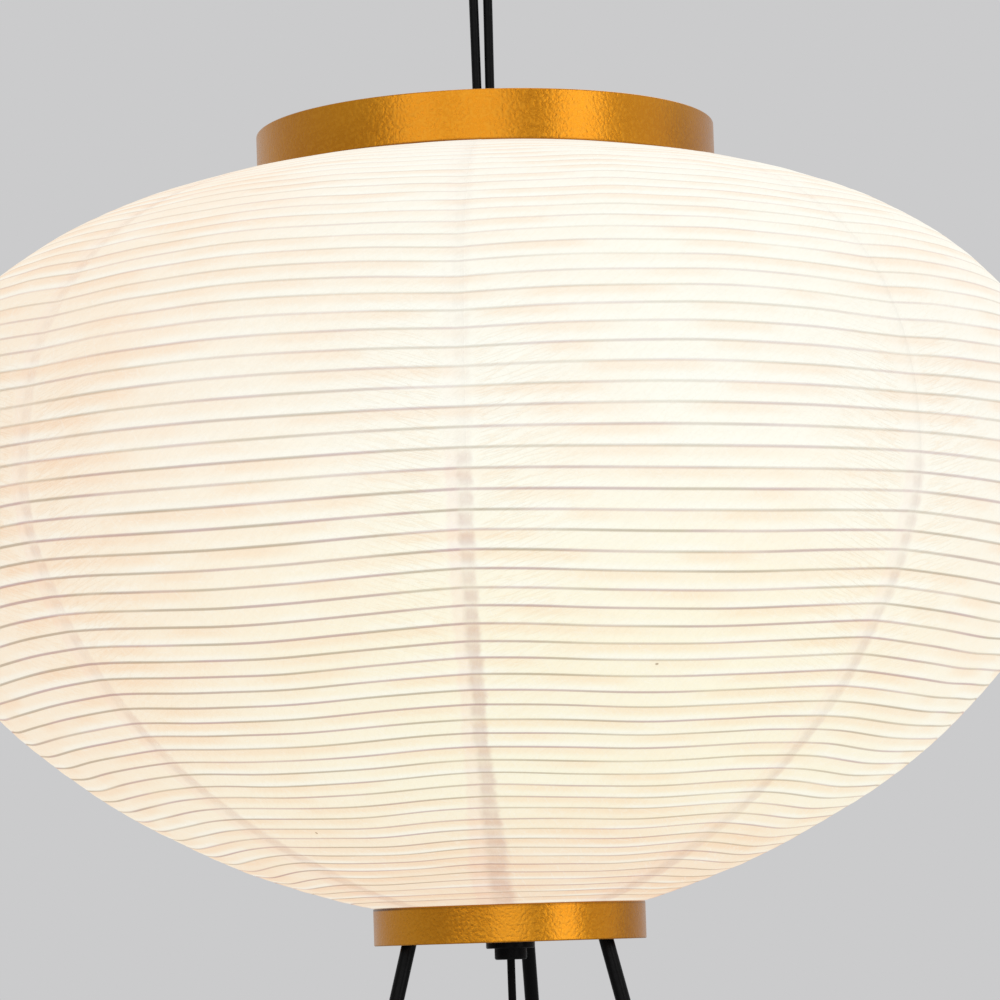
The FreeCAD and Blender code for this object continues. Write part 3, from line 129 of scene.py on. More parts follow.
class Graph:
    """Short ways to add nodes to one tree and to join them."""

    def __init__(self, tree: bpy.types.NodeTree) -> None:
        """Work on one tree.

        Args:
            tree: The material's or the group's node tree.
        """
        self.tree = tree

    def node(self, kind: str, **settings: object) -> bpy.types.Node:
        """Add a node and set its properties.

        Args:
            kind: The node's type without "ShaderNode".
            settings: Property values by name.

        Returns:
            The new node.
        """
        made = self.tree.nodes.new("ShaderNode" + kind)
        for name, value in settings.items():
            setattr(made, name, value)
        return made

    def feed(self, target: bpy.types.NodeSocket, value: Union[Value, Shade3]) -> None:
        """Link a socket into another, or write a constant on it.

        Args:
            target: The input socket.
            value: A socket, a number or a colour.
        """
        if isinstance(value, bpy.types.NodeSocket):
            self.tree.links.new(value, target)
        elif isinstance(value, (int, float)):
            target.default_value = float(value)
        else:
            wanted = len(target.default_value)
            target.default_value = tuple(value)[:3] + (1.0,) * (wanted - 3)

    def maths(self, operation: str, a: Value, b: Value = 0.0) -> bpy.types.NodeSocket:
        """Add a Math node.

        Args:
            operation: The node's operation.
            a: First value.
            b: Second value.

        Returns:
            The result's socket.
        """
        made = self.node("Math", operation=operation)
        self.feed(made.inputs[0], a)
        self.feed(made.inputs[1], b)
        return made.outputs[0]

    def times(self, first: Value, *others: Value) -> bpy.types.NodeSocket:
        """The product of several values."""
        result = first
        for other in others:
            result = self.maths("MULTIPLY", result, other)
        return result

    def within(self, value: Value) -> bpy.types.NodeSocket:
        """A value kept from 0 to 1."""
        made = self.node("Clamp")
        self.feed(made.inputs["Value"], value)
        return made.outputs[0]

    def smooth(
        self, value: Value, low: float, high: float, at_low: float = 0.0, at_high: float = 1.0
    ) -> bpy.types.NodeSocket:
        """Ease a value from one limit to another.

        Args:
            value: The value to read.
            low: Value at the first limit.
            high: Value at the second limit.
            at_low: Result at the first limit.
            at_high: Result at the second limit.

        Returns:
            The result's socket.
        """
        made = self.node("MapRange", interpolation_type="SMOOTHSTEP")
        if low > high:
            low, high, at_low, at_high = high, low, at_high, at_low
        limits = {"Value": value, "From Min": low, "From Max": high, "To Min": at_low, "To Max": at_high}
        for name, number in limits.items():
            self.feed(made.inputs[name], number)
        return made.outputs["Result"]

    def follow(self, value: Value, ramp: Ramp) -> bpy.types.NodeSocket:
        """Ease a value along a named ramp."""
        return self.smooth(value, ramp.low, ramp.high, ramp.at_low, ramp.at_high)

    def blend(self, share: Value, a: Shade3, b: Shade3, way: str = "MIX") -> bpy.types.NodeSocket:
        """Mix two colours.

        Args:
            share: 0 gives the first colour and 1 the second.
            a: First colour.
            b: Second colour.
            way: How they mix, as Blender names it.

        Returns:
            The mixed colour's socket.
        """
        made = self.node("Mix", data_type="RGBA", blend_type=way)
        self.feed(made.inputs[0], share)
        self.feed(made.inputs[6], a)
        self.feed(made.inputs[7], b)
        return made.outputs[2]

    def tint(self, share: Value, colour: Shade3, filter_: Colour) -> bpy.types.NodeSocket:
        """Pass a colour through a filter, wholly where the share is 1."""
        return self.blend(share, colour, filter_, "MULTIPLY")

    def join(self, x: Value, y: Value, z: Value) -> bpy.types.NodeSocket:
        """Three numbers as one vector."""
        made = self.node("CombineXYZ")
        for name, number in zip("XYZ", (x, y, z)):
            self.feed(made.inputs[name], number)
        return made.outputs["Vector"]

    def cloud(
        self, scale: Value, detail: float = 2.0, where: Union[bpy.types.NodeSocket, None] = None
    ) -> bpy.types.NodeSocket:
        """Add a Noise texture in the part's own frame.

        Args:
            scale: Bumps per metre.
            detail: Octaves.
            where: Coordinates, or None for the part's own.

        Returns:
            The noise value's socket.
        """
        made = self.node("TexNoise")
        self.feed(made.inputs["Vector"], where or self.place())
        self.feed(made.inputs["Scale"], scale)
        self.feed(made.inputs["Detail"], detail)
        return made.outputs["Fac"]

    def place(self) -> bpy.types.NodeSocket:
        """The surface point in the part's own frame, in metres."""
        return self.node("TexCoord").outputs["Object"]

    def stored(self, name: str) -> bpy.types.NodeSocket:
        """A number that the mesh carries at each point."""
        return self.node("Attribute", attribute_name=name).outputs["Fac"]

    def bump(
        self, height: bpy.types.NodeSocket, depth: float, after: Union[bpy.types.NodeSocket, None] = None
    ) -> bpy.types.NodeSocket:
        """Add a Bump node.

        Args:
            height: The height's socket, from 0 to 1.
            depth: Height of 1 in metres.
            after: A normal to add to.

        Returns:
            The normal's socket.
        """
        made = self.node("Bump")
        made.inputs["Strength"].default_value = 1.0
        made.inputs["Distance"].default_value = depth
        self.feed(made.inputs["Height"], height)
        if after is not None:
            self.feed(made.inputs["Normal"], after)
        return made.outputs["Normal"]


def new_group(
    name: str, inputs: dict[str, tuple[str, float]], outputs: Iterable[str]
) -> tuple[Graph, bpy.types.Node, bpy.types.Node]:
    """Start a shared node group.

    Args:
        name: The group's name.
        inputs: Each input's socket type and default.
        outputs: Names of its outputs, all plain values.

    Returns:
        Its graph, its input node and its output node.
    """
    tree = bpy.data.node_groups.new(name, "ShaderNodeTree")
    for label, (kind, default) in inputs.items():
        socket = tree.interface.new_socket(label, in_out="INPUT", socket_type=kind)
        if kind == "NodeSocketFloat":
            socket.default_value = default
    for label in outputs:
        tree.interface.new_socket(label, in_out="OUTPUT", socket_type="NodeSocketFloat")
    return Graph(tree), tree.nodes.new("NodeGroupInput"), tree.nodes.new("NodeGroupOutput")


class Effects:
    """The shader effects that several finishes share, each built once as a node group."""

    def __init__(self) -> None:
        """Build the four groups."""
        self.grain = self.make_grain()
        self.scuff = self.make_scuff()
        self.dust = self.make_dust()
        self.fibre = self.make_fibre()

    def make_grain(self) -> bpy.types.NodeTree:
        """Fine two-scale grain, as in sprayed lacquer and moulded plastic.

        Returns:
            The node group, with outputs Height and Patches.
        """
        graph, given, result = new_group(
            "FineGrain", {"Scale": ("NodeSocketFloat", 900.0)}, ("Height", "Patches")
        )
        scale = given.outputs["Scale"]
        fine = graph.cloud(scale, 3.0)
        coarse = graph.cloud(graph.times(scale, 0.31), 2.0)
        height = graph.maths("ADD", graph.times(fine, 0.6), graph.times(coarse, 0.4))
        graph.feed(result.inputs["Height"], height)
        patches = graph.cloud(graph.times(scale, 0.02), 3.0)
        graph.feed(result.inputs["Patches"], graph.smooth(patches, 0.35, 0.65))
        return graph.tree

    def make_scuff(self) -> bpy.types.NodeTree:
        """Sparse long scratches and rubbed spots.

        Returns:
            The node group, with output Mask.
        """
        graph, given, result = new_group(
            "Scuffs",
            {"Amount": ("NodeSocketFloat", 0.3), "Scale": ("NodeSocketFloat", 60.0)},
            ("Mask",),
        )
        stretch = graph.node("Mapping")
        graph.feed(stretch.inputs["Vector"], graph.place())
        stretch.inputs["Rotation"].default_value = (0.4, 0.7, 0.3)
        stretch.inputs["Scale"].default_value = (9.0, 1.0, 1.6)
        lines = graph.cloud(given.outputs["Scale"], 4.0, stretch.outputs["Vector"])
        thin = graph.smooth(graph.maths("ABSOLUTE", graph.maths("SUBTRACT", lines, 0.5)), 0.012, 0.0)
        spots = graph.smooth(graph.cloud(graph.times(given.outputs["Scale"], 0.4), 2.0), 0.5, 0.72)
        mask = graph.within(graph.times(thin, spots, given.outputs["Amount"]))
        graph.feed(result.inputs["Mask"], mask)
        return graph.tree

    def make_dust(self) -> bpy.types.NodeTree:
        """Thin dust on the faces that look up.

        Returns:
            The node group, with output Mask.
        """
        graph, given, result = new_group("Dust", {"Amount": ("NodeSocketFloat", 0.2)}, ("Mask",))
        split = graph.node("SeparateXYZ")
        graph.feed(split.inputs[0], graph.node("NewGeometry").outputs["Normal"])
        facing = graph.smooth(split.outputs["Z"], 0.55, 1.0)
        speckle = graph.smooth(graph.cloud(420.0, 4.0), 0.38, 0.75)
        mask = graph.times(facing, speckle, given.outputs["Amount"])
        graph.feed(result.inputs["Mask"], mask)
        return graph.tree

    def make_fibre(self) -> bpy.types.NodeTree:
        """Long thin threads that lie one way, as in washi or a woven strap.

        Returns:
            The node group, with output Mask.
        """
        graph, given, result = new_group(
            "Fibres",
            {
                "Where": ("NodeSocketVector", 0.0),
                "Turn": ("NodeSocketFloat", 0.0),
                "Scale": ("NodeSocketFloat", 100.0),
                "Slimness": ("NodeSocketFloat", 8.0),
                "Width": ("NodeSocketFloat", 0.03),
            },
            ("Mask",),
        )
        turned = graph.node("VectorRotate", rotation_type="Z_AXIS")
        graph.feed(turned.inputs["Vector"], given.outputs["Where"])
        graph.feed(turned.inputs["Angle"], given.outputs["Turn"])
        split = graph.node("SeparateXYZ")
        graph.feed(split.inputs[0], turned.outputs["Vector"])
        slim = graph.times(split.outputs["Y"], given.outputs["Slimness"])
        stretched = graph.join(split.outputs["X"], slim, split.outputs["Z"])
        threads = graph.cloud(given.outputs["Scale"], 2.0, stretched)
        near = graph.maths("ABSOLUTE", graph.maths("SUBTRACT", threads, 0.5))
        share = graph.within(graph.maths("DIVIDE", near, given.outputs["Width"]))
        graph.feed(result.inputs["Mask"], graph.maths("SUBTRACT", 1.0, share))
        return graph.tree


def use(graph: Graph, group: bpy.types.NodeTree, **inputs: Value) -> bpy.types.Node:
    """Place a shared effect in a material.

    Args:
        graph: The material's graph.
        group: The effect.
        inputs: Its input values by name.

    Returns:
        The group node.
    """
    made = graph.node("Group", node_tree=group)
    for name, value in inputs.items():
        graph.feed(made.inputs[name], value)
    return made


# ---- finishes --------------------------------------------------------------------------------


def new_material(name: str) -> tuple[bpy.types.Material, Graph, bpy.types.Node]:
    """Start a material.

    Args:
        name: The material's name.

    Returns:
        The material, its graph and its Principled shader.
    """
    material = bpy.data.materials.new(name)
    material.use_nodes = True
    return material, Graph(material.node_tree), material.node_tree.nodes["Principled BSDF"]


@dataclass(frozen=True)
class Finish:
    """A paint, plastic, rubber or metal with grain, patches, scuffs and a little dust."""

    name: str
    colour: Colour
    roughness: float
    metallic: float = 0.0
    specular: float = 0.5
    grain: float = 900.0
    grain_depth: float = 0.00004
    patch_tone: float = 0.88
    rough_spread: float = 0.08
    scuffs: float = 0.25
    scuff_colour: Colour = (0.3, 0.3, 0.3)
    dust: float = 0.12

    def build(self, effects: Effects) -> bpy.types.Material:
        """Make the material.

        Args:
            effects: The shared effects.

        Returns:
            The new material.
        """
        material, graph, shader = new_material(self.name)
        grain = use(graph, effects.grain, Scale=self.grain)
        scuff_and_lap_shade = use(graph, effects.scuff, Amount=self.scuffs)
        dusty = use(graph, effects.dust, Amount=self.dust)
        patchy = tuple(channel * self.patch_tone for channel in self.colour)
        colour = graph.blend(grain.outputs["Patches"], patchy, self.colour)
        colour = graph.blend(scuff_and_lap_shade.outputs["Mask"], colour, self.scuff_colour)
        colour = graph.blend(dusty.outputs["Mask"], colour, linear(176, 170, 160))
        graph.feed(shader.inputs["Base Color"], colour)
        smoothest, roughest = self.roughness - self.rough_spread, self.roughness + self.rough_spread
        rough = graph.smooth(grain.outputs["Height"], 0.3, 0.7, smoothest, roughest)
        rough = graph.within(graph.maths("ADD", rough, graph.times(scuff_and_lap_shade.outputs["Mask"], 0.3)))
        graph.feed(shader.inputs["Roughness"], rough)
        shader.inputs["Metallic"].default_value = self.metallic
        shader.inputs["Specular IOR Level"].default_value = self.specular
        graph.feed(shader.inputs["Normal"], graph.bump(grain.outputs["Height"], self.grain_depth))
        return material


@dataclass(frozen=True)
class GoldLacquer:
    """Deep satin gold lacquer with a fine pebbled skin, and a painted shadow where the paper is tucked in."""

    name: str = "gold_lacquer"
    bright: Colour = linear(208, 138, 24)
    deep: Colour = linear(192, 122, 14)
    speck: Colour = linear(228, 164, 46)
    # Colour of the painted shadow where the paper meets the ring.
    joint: Colour = linear(84, 44, 12)
    low_joint: float = 0.8205
    high_joint: float = 1.2245
    pebbles: float = 560.0
    pebble_depth: float = 0.0002
    smoothest: float = 0.27
    roughest: float = 0.34
    speck_share: float = 0.18
    coat: float = 0.2
    coat_roughness: float = 0.26
    between: float = 1.0
    high_edge: tuple[float, float] = (0.0016, 0.0007)
    low_edge: tuple[float, float] = (0.0019, 0.0009)

    def build(self, effects: Effects) -> bpy.types.Material:
        """Make the material.

        Args:
            effects: The shared effects.

        Returns:
            The new material.
        """
        material, graph, shader = new_material(self.name)
        pebbles = graph.cloud(self.pebbles, 1.0)
        colour = graph.blend(graph.smooth(graph.cloud(12.0, 1.0), 0.35, 0.65), self.deep, self.bright)
        colour = graph.blend(graph.smooth(pebbles, 0.45, 0.65, 0.0, self.speck_share), colour, self.speck)
        dusty = use(graph, effects.dust, Amount=0.03)
        colour = graph.blend(dusty.outputs["Mask"], colour, linear(190, 160, 110))
        # Painted shadow where the paper goes into the ring.
        colour = graph.blend(self.joints(graph), colour, self.joint)
        graph.feed(shader.inputs["Base Color"], colour)
        rough = graph.smooth(pebbles, 0.3, 0.7, self.smoothest, self.roughest)
        graph.feed(shader.inputs["Roughness"], rough)
        shader.inputs["Metallic"].default_value = 1.0
        shader.inputs["Coat Weight"].default_value = self.coat
        shader.inputs["Coat Roughness"].default_value = self.coat_roughness
        graph.feed(shader.inputs["Normal"], graph.bump(pebbles, self.pebble_depth))
        return material

    def joints(self, graph: Graph) -> bpy.types.NodeSocket:
        """The painted shadow along the edge that the paper goes into, stronger in some places.

        Args:
            graph: The material's graph.

        Returns:
            The mask's socket.
        """
        split = graph.node("SeparateXYZ")
        graph.feed(split.inputs[0], graph.place())
        height = split.outputs["Z"]
        upper = graph.maths("GREATER_THAN", height, self.between)
        fading, full = (self.high_joint + edge for edge in self.high_edge)
        above = graph.times(graph.smooth(height, fading, full), upper)
        lower = graph.maths("LESS_THAN", height, self.between)
        fading, full = (self.low_joint - edge for edge in self.low_edge)
        below = graph.times(graph.smooth(height, fading, full), lower)
        uneven = graph.smooth(graph.cloud(9.0, 1.0), 0.42, 0.60, 0.35, 0.95)
        return graph.times(graph.maths("ADD", above, below), uneven)


@dataclass(frozen=True)
class OpalGlobe:
    """The bulb's white globe, which glows."""

    name: str = "opal_globe"
    glow: Colour = linear(255, 232, 196)
    strength: float = 1.6

    def build(self, effects: Effects) -> bpy.types.Material:
        """Make the material.

        Args:
            effects: The shared effects.

        Returns:
            The new material.
        """
        material, graph, shader = new_material(self.name)
        grain = use(graph, effects.grain, Scale=500.0)
        colour = graph.blend(grain.outputs["Patches"], linear(244, 238, 226), linear(250, 246, 238))
        graph.feed(shader.inputs["Base Color"], colour)
        shader.inputs["Roughness"].default_value = 0.25
        warm = graph.blend(grain.outputs["Patches"], self.glow, linear(255, 238, 208))
        graph.feed(shader.inputs["Emission Color"], warm)
        shader.inputs["Emission Strength"].default_value = self.strength
        graph.feed(shader.inputs["Normal"], graph.bump(grain.outputs["Height"], 0.00001))
        return material


@dataclass(frozen=True)
class PaperPlace:
    """Where a point lies on the shade, as sockets in the paper's material."""

    x: bpy.types.NodeSocket
    y: bpy.types.NodeSocket
    height: bpy.types.NodeSocket
    row: bpy.types.NodeSocket
    pitch: bpy.types.NodeSocket
    side: bpy.types.NodeSocket
    lap: bpy.types.NodeSocket
    lap_above: bpy.types.NodeSocket

    @classmethod
    def read(cls, graph: Graph) -> "PaperPlace":
        """Read the place from the mesh's stored numbers.

        Args:
            graph: The material's graph.

        Returns:
            The sockets.
        """
        split = graph.node("SeparateXYZ")
        graph.feed(split.inputs[0], graph.place())
        across, wide = graph.stored("strip_across"), graph.stored("strip_wide")
        beyond = graph.maths("GREATER_THAN", across, graph.times(wide, 0.5))
        side = graph.maths("SUBTRACT", across, graph.times(wide, beyond))
        return cls(
            x=split.outputs["X"],
            y=split.outputs["Y"],
            height=split.outputs["Z"],
            row=graph.stored("rib_row"),
            pitch=graph.stored("rib_pitch"),
            side=side,
            lap=graph.stored("lap_strength"),
            lap_above=graph.stored("lap_above"),
        )

    def reach(self, graph: Graph) -> bpy.types.NodeSocket:
        """Distance from the nearest seam."""
        return graph.maths("ABSOLUTE", self.side)

    def in_gap(self, graph: Graph, rounding: str, shift: float = 0.0) -> bpy.types.NodeSocket:
        """Coordinates that jump from one gap, or one rib, to the next.

        Args:
            graph: The material's graph.
            rounding: FLOOR for the gaps, ROUND for the ribs.
            shift: Moves the pattern, so that two of them differ.

        Returns:
            The vector's socket.
        """
        level = graph.maths("ADD", graph.times(graph.maths(rounding, self.row), 0.37), shift)
        return graph.join(self.x, self.y, level)


@dataclass(frozen=True)
class WashiPaper:
    """Backed washi with painted light: a painted glow of the bulb behind it, painted rib shadows, peach bands
    of painted shade under them, painted shade at the glued laps and in the creases, and fibres.
    """

    name: str = "washi_paper"
    foot: Colour = linear(252, 232, 206)
    warm: Colour = linear(255, 250, 226)
    white: Colour = linear(255, 254, 242)
    cream: Colour = linear(255, 250, 238)
    peach: Colour = linear(255, 239, 217)
    drift_filter: Colour = (1.0, 0.96, 0.93)
    # Filter of the painted shade under each rib.
    rib_bulge_shade_filter: Colour = (0.985, 0.86, 0.775)
    # The two colours of the painted rib shadows.
    rib_shadow_grey: Colour = (0.60, 0.56, 0.52)
    rib_shadow_mauve: Colour = (0.63, 0.53, 0.58)
    # Filters of the painted shade at the laps, and of the fainter painted shade beside them.
    lap_shade_filter: Colour = (0.82, 0.73, 0.745)
    lap_edge_shade_filter: Colour = (0.985, 0.93, 0.95)
    paper_share: float = 0.25
    glow_strength: float = 0.820
    far_share: float = 0.965
    line_half: float = 0.00064
    glow_rise: tuple[float, float] = (0.95, 1.10)
    foot_rise: Ramp = Ramp(0.825, 0.885)
    white_rise: Ramp = Ramp(0.93, 1.07)
    cream_rise: Ramp = Ramp(1.13, 1.21, 0.0, 0.7)
    peach_aside: Ramp = Ramp(0.01, -0.27, 0.0, 0.9)
    cream_aside: Ramp = Ramp(0.10, 0.32, 0.0, 0.7)
    rib_bulge_shade_step: Ramp = Ramp(0.28, 0.72)
    bulge_light_step: Ramp = Ramp(0.52, 0.16)
    crease_foot: Ramp = Ramp(0.88, 0.98)
    crease_top: Ramp = Ramp(1.15, 1.06)
    crease_far: Ramp = Ramp(0.085, 0.02)
    crease_near: Ramp = Ramp(0.006, 0.012)
    lap_width: Ramp = Ramp(0.835, 0.90, 0.62, 1.0)
    core_sides: tuple[Ramp, Ramp] = (Ramp(-0.0030, 0.0006), Ramp(0.0074, 0.0044))
    pale_sides: tuple[Ramp, Ramp] = (Ramp(-0.0084, -0.0056), Ramp(-0.0002, -0.0024))
    # Where the laps' painted shade breaks at each rib.
    lap_shade_step: tuple[Ramp, Ramp] = (Ramp(0.0, 0.40), Ramp(1.0, 0.65))
    lap_whole: Ramp = Ramp(0.985, 0.93, 0.35, 0.8)
    lap_risen: Ramp = Ramp(1.044, 1.026)
    end_rows: float = 0.6
    line_above: Ramp = Ramp(1.18, 0.92, 0.36, 1.12)
    line_below: Ramp = Ramp(0.85, 0.95, 0.80, 1.0)
    line_aside: Ramp = Ramp(0.28, -0.30, 0.92, 1.18)
    line_hidden: Ramp = Ramp(0.92, 1.00, 0.15, 0.9)

    def build(self, effects: Effects) -> bpy.types.Material:
        """Make the material.

        Args:
            effects: The shared effects.

        Returns:
            The new material.
        """
        material, graph, shader = new_material(self.name)
        place = PaperPlace.read(graph)
        colour = self.ground(graph, place)
        colour = self.bands(graph, place, colour)
        colour, threads = self.fibres(graph, effects, place, colour)
        colour, creases = self.creases(graph, effects, place, colour)
        lap, colour = self.laps(graph, place, colour)
        colour = self.lines(graph, place, lap, colour)
        colour = self.specks(graph, place, colour)

        graph.feed(shader.inputs["Base Color"], graph.tint(1.0, colour, (self.paper_share,) * 3))
        # Painted glow: the bulb's light through the paper is set as emission, a little dimmer above the
        # middle of the shade.
        lit = graph.smooth(place.height, *self.glow_rise, 1.0, self.far_share)
        glow = graph.blend(1.0, colour, graph.join(lit, lit, lit), "MULTIPLY")
        graph.feed(shader.inputs["Emission Color"], glow)
        shader.inputs["Emission Strength"].default_value = self.glow_strength
        shader.inputs["Roughness"].default_value = 0.8
        shader.inputs["Specular IOR Level"].default_value = 0.2
        normal = graph.bump(threads, 0.00010)
        normal = graph.bump(creases, 0.00022, normal)
        graph.feed(shader.inputs["Normal"], normal)
        return material

    def ground(self, graph: Graph, place: PaperPlace) -> bpy.types.NodeSocket:
        """The paper's tone with painted light of the bulb: whitest beside the bulb, warm below, peach at one
        side.

        Args:
            graph: The material's graph.
            place: The point's place on the shade.

        Returns:
            The colour's socket.
        """
        # Painted light of the bulb, set by height on the shade.
        colour = graph.blend(graph.follow(place.height, self.foot_rise), self.foot, self.warm)
        colour = graph.blend(graph.follow(place.height, self.white_rise), colour, self.white)
        colour = graph.blend(graph.follow(place.height, self.cream_rise), colour, self.cream)
        colour = graph.blend(graph.follow(place.x, self.peach_aside), colour, self.peach)
        colour = graph.blend(graph.follow(place.x, self.cream_aside), colour, self.cream)
        drift = graph.smooth(graph.cloud(9.0, 2.0), 0.45, 0.70, 0.0, 0.6)
        return graph.tint(drift, colour, self.drift_filter)

    def bands(self, graph: Graph, place: PaperPlace, colour: Shade3) -> bpy.types.NodeSocket:
        """Painted shade and light of the paper bulging between two ribs: peach shade under the upper rib and
        a pale painted light over the lower one.

        Args:
            graph: The material's graph.
            place: The point's place on the shade.
            colour: The colour so far.

        Returns:
            The new colour.
        """
        step = graph.maths("FRACT", place.row)
        patch = graph.smooth(graph.cloud(15.0, 1.0, place.in_gap(graph, "FLOOR")), 0.40, 0.62, 0.15, 1.0)
        # Painted shade under the upper rib, in random patches.
        upper = graph.follow(step, self.rib_bulge_shade_step)
        colour = graph.tint(graph.times(upper, patch, 0.66), colour, self.rib_bulge_shade_filter)
        # Painted light over the lower rib, in random patches.
        bulge_light = graph.smooth(graph.cloud(13.0, 1.0, place.in_gap(graph, "FLOOR", 7.0)), 0.42, 0.60)
        lower = graph.follow(step, self.bulge_light_step)
        return graph.blend(graph.times(lower, bulge_light, 0.5), colour, linear(255, 255, 246))

    def fibres(
        self, graph: Graph, effects: Effects, place: PaperPlace, colour: Shade3
    ) -> tuple[bpy.types.NodeSocket, bpy.types.NodeSocket]:
        """Long threads in four directions, some pale and some dark.

        Args:
            graph: The material's graph.
            effects: The shared effects.
            place: The point's place on the shade.
            colour: The colour so far.

        Returns:
            The new colour and the threads' height.
        """
        layer = graph.times(graph.cloud(3.0, 0.0), 0.02)
        sheet = graph.join(graph.stored("strip_across"), place.height, layer)
        directions = ((0.15, 42.0, 9.0), (-0.5, 50.0, 8.0), (1.05, 46.0, 9.0), (2.3, 60.0, 7.0))
        masks = [
            use(graph, effects.fibre, Where=sheet, Turn=turn, Scale=scale, Slimness=slim, Width=0.016)
            for turn, scale, slim in directions
        ]
        pale = graph.maths("MAXIMUM", masks[0].outputs["Mask"], masks[2].outputs["Mask"])
        dark = graph.maths("MAXIMUM", masks[1].outputs["Mask"], masks[3].outputs["Mask"])
        colour = graph.blend(graph.times(pale, 0.28), colour, linear(255, 254, 246))
        colour = graph.tint(graph.times(dark, 0.26), colour, (0.96, 0.88, 0.81))
        return colour, graph.maths("MAXIMUM", pale, dark)

    def creases(
        self, graph: Graph, effects: Effects, place: PaperPlace, colour: Shade3
    ) -> tuple[bpy.types.NodeSocket, bpy.types.NodeSocket]:
        """Feathered creases that rise away from each seam over the middle of the shade, darkened with painted
        shade.

        Args:
            graph: The material's graph.
            effects: The shared effects.
            place: The point's place on the shade.
            colour: The colour so far.

        Returns:
            The new colour and the creases' height.
        """
        reach = place.reach(graph)
        flat = graph.join(reach, place.height, 0.0)
        barbs = use(graph, effects.fibre, Where=flat, Turn=-0.30, Scale=34.0, Slimness=11.0, Width=0.05)
        span = graph.times(*(graph.follow(place.height, end) for end in (self.crease_foot, self.crease_top)))
        near = graph.times(*(graph.follow(reach, end) for end in (self.crease_far, self.crease_near)), span)
        mask = graph.times(barbs.outputs["Mask"], near)
        # The creases are darkened with painted shade.
        return graph.tint(graph.times(mask, 0.42), colour, (0.97, 0.86, 0.77)), mask

    def laps(
        self, graph: Graph, place: PaperPlace, colour: Shade3
    ) -> tuple[bpy.types.NodeSocket, bpy.types.NodeSocket]:
        """Painted shade of the doubled paper at each glued seam, where less glow comes through: stronger in
        the lower half and broken by the ribs above.

        Args:
            graph: The material's graph.
            place: The point's place on the shade.
            colour: The colour so far.

        Returns:
            The lap's mask and the new colour.
        """
        wander = graph.maths("SUBTRACT", graph.cloud(9.0, 0.0, place.in_gap(graph, "FLOOR", 3.0)), 0.5)
        fuzz = graph.maths("SUBTRACT", graph.cloud(230.0, 2.0), 0.5)
        moved = graph.maths("ADD", graph.times(wander, 0.003), graph.times(fuzz, 0.0035))
        widened = graph.follow(place.height, self.lap_width)
        side = graph.times(graph.maths("ADD", place.side, moved), widened)
        core = graph.times(*(graph.follow(side, edge) for edge in self.core_sides))
        pale = graph.times(*(graph.follow(side, edge) for edge in self.pale_sides))
        step = graph.maths("FRACT", place.row)
        middle = graph.times(*(graph.follow(step, edge) for edge in self.lap_shade_step))
        whole = graph.follow(place.height, self.lap_whole)
        lap_shade_break = graph.blend(whole, graph.join(middle, middle, middle), (1.0, 1.0, 1.0))
        # Random strength of the laps' painted shade.
        scuff_and_lap_shade = graph.smooth(graph.cloud(45.0, 3.0), 0.35, 0.6, 0.6, 1.0)
        risen = graph.follow(place.height, self.lap_risen)
        strength = graph.times(graph.maths("MAXIMUM", risen, place.lap_above), place.lap)
        core = graph.times(core, lap_shade_break, scuff_and_lap_shade, strength)
        # Painted shade beside each lap and over its doubled core.
        colour = graph.tint(graph.times(pale, strength, 0.9), colour, self.lap_edge_shade_filter)
        return core, graph.tint(core, colour, self.lap_shade_filter)

    def lines(self, graph: Graph, place: PaperPlace, lap: Value, colour: Shade3) -> bpy.types.NodeSocket:
        """The ribs' thin shadows, fainter where the paper is brightest and under a lap.

        Args:
            graph: The material's graph.
            place: The point's place on the shade.
            lap: The lap's mask.
            colour: The colour so far.

        Returns:
            The new colour.
        """
        nearest = graph.maths("ROUND", place.row)
        away = graph.times(graph.maths("ABSOLUTE", graph.maths("SUBTRACT", place.row, nearest)), place.pitch)
        mask = graph.smooth(away, self.line_half * 1.8, self.line_half * 0.35)
        after_first = graph.maths("GREATER_THAN", place.row, self.end_rows)
        before_last = graph.maths("LESS_THAN", place.row, RIB_GAPS - self.end_rows)
        uneven = graph.smooth(graph.cloud(11.0, 2.0, place.in_gap(graph, "ROUND")), 0.32, 0.62, 0.62, 1.0)
        above = graph.follow(place.height, self.line_above)
        below = graph.follow(place.height, self.line_below)
        aside = graph.follow(place.x, self.line_aside)
        hidden = graph.times(lap, graph.follow(place.height, self.line_hidden))
        shown = graph.maths("SUBTRACT", 1.0, hidden)
        mask = graph.times(mask, after_first, before_last, uneven, above, below, aside, shown)
        change = graph.smooth(graph.cloud(16.0, 1.0, place.in_gap(graph, "ROUND", 9.0)), 0.42, 0.58)
        return graph.blend(mask, colour, graph.blend(change, self.rib_shadow_grey, self.rib_shadow_mauve), "MULTIPLY")

    def specks(self, graph: Graph, place: PaperPlace, colour: Shade3) -> bpy.types.NodeSocket:
        """A few short dark bark specks in the pulp.

        Args:
            graph: The material's graph.
            place: The point's place on the shade.
            colour: The colour so far.

        Returns:
            The new colour.
        """
        spots = graph.node("TexVoronoi", voronoi_dimensions="2D")
        tall = graph.times(place.height, 2.0)
        turned = graph.maths("ARCTAN2", place.x, place.y)
        graph.feed(spots.inputs["Vector"], graph.join(graph.times(turned, 0.3), tall, 0.0))
        spots.inputs["Scale"].default_value = 8.0
        chance = graph.node("SeparateColor")
        graph.feed(chance.inputs[0], spots.outputs["Color"])
        rare = graph.maths("GREATER_THAN", chance.outputs[0], 0.86)
        mask = graph.smooth(spots.outputs["Distance"], 0.0105, 0.0045, 0.0, 0.8)
        return graph.tint(graph.times(mask, rare), colour, (0.42, 0.34, 0.28))


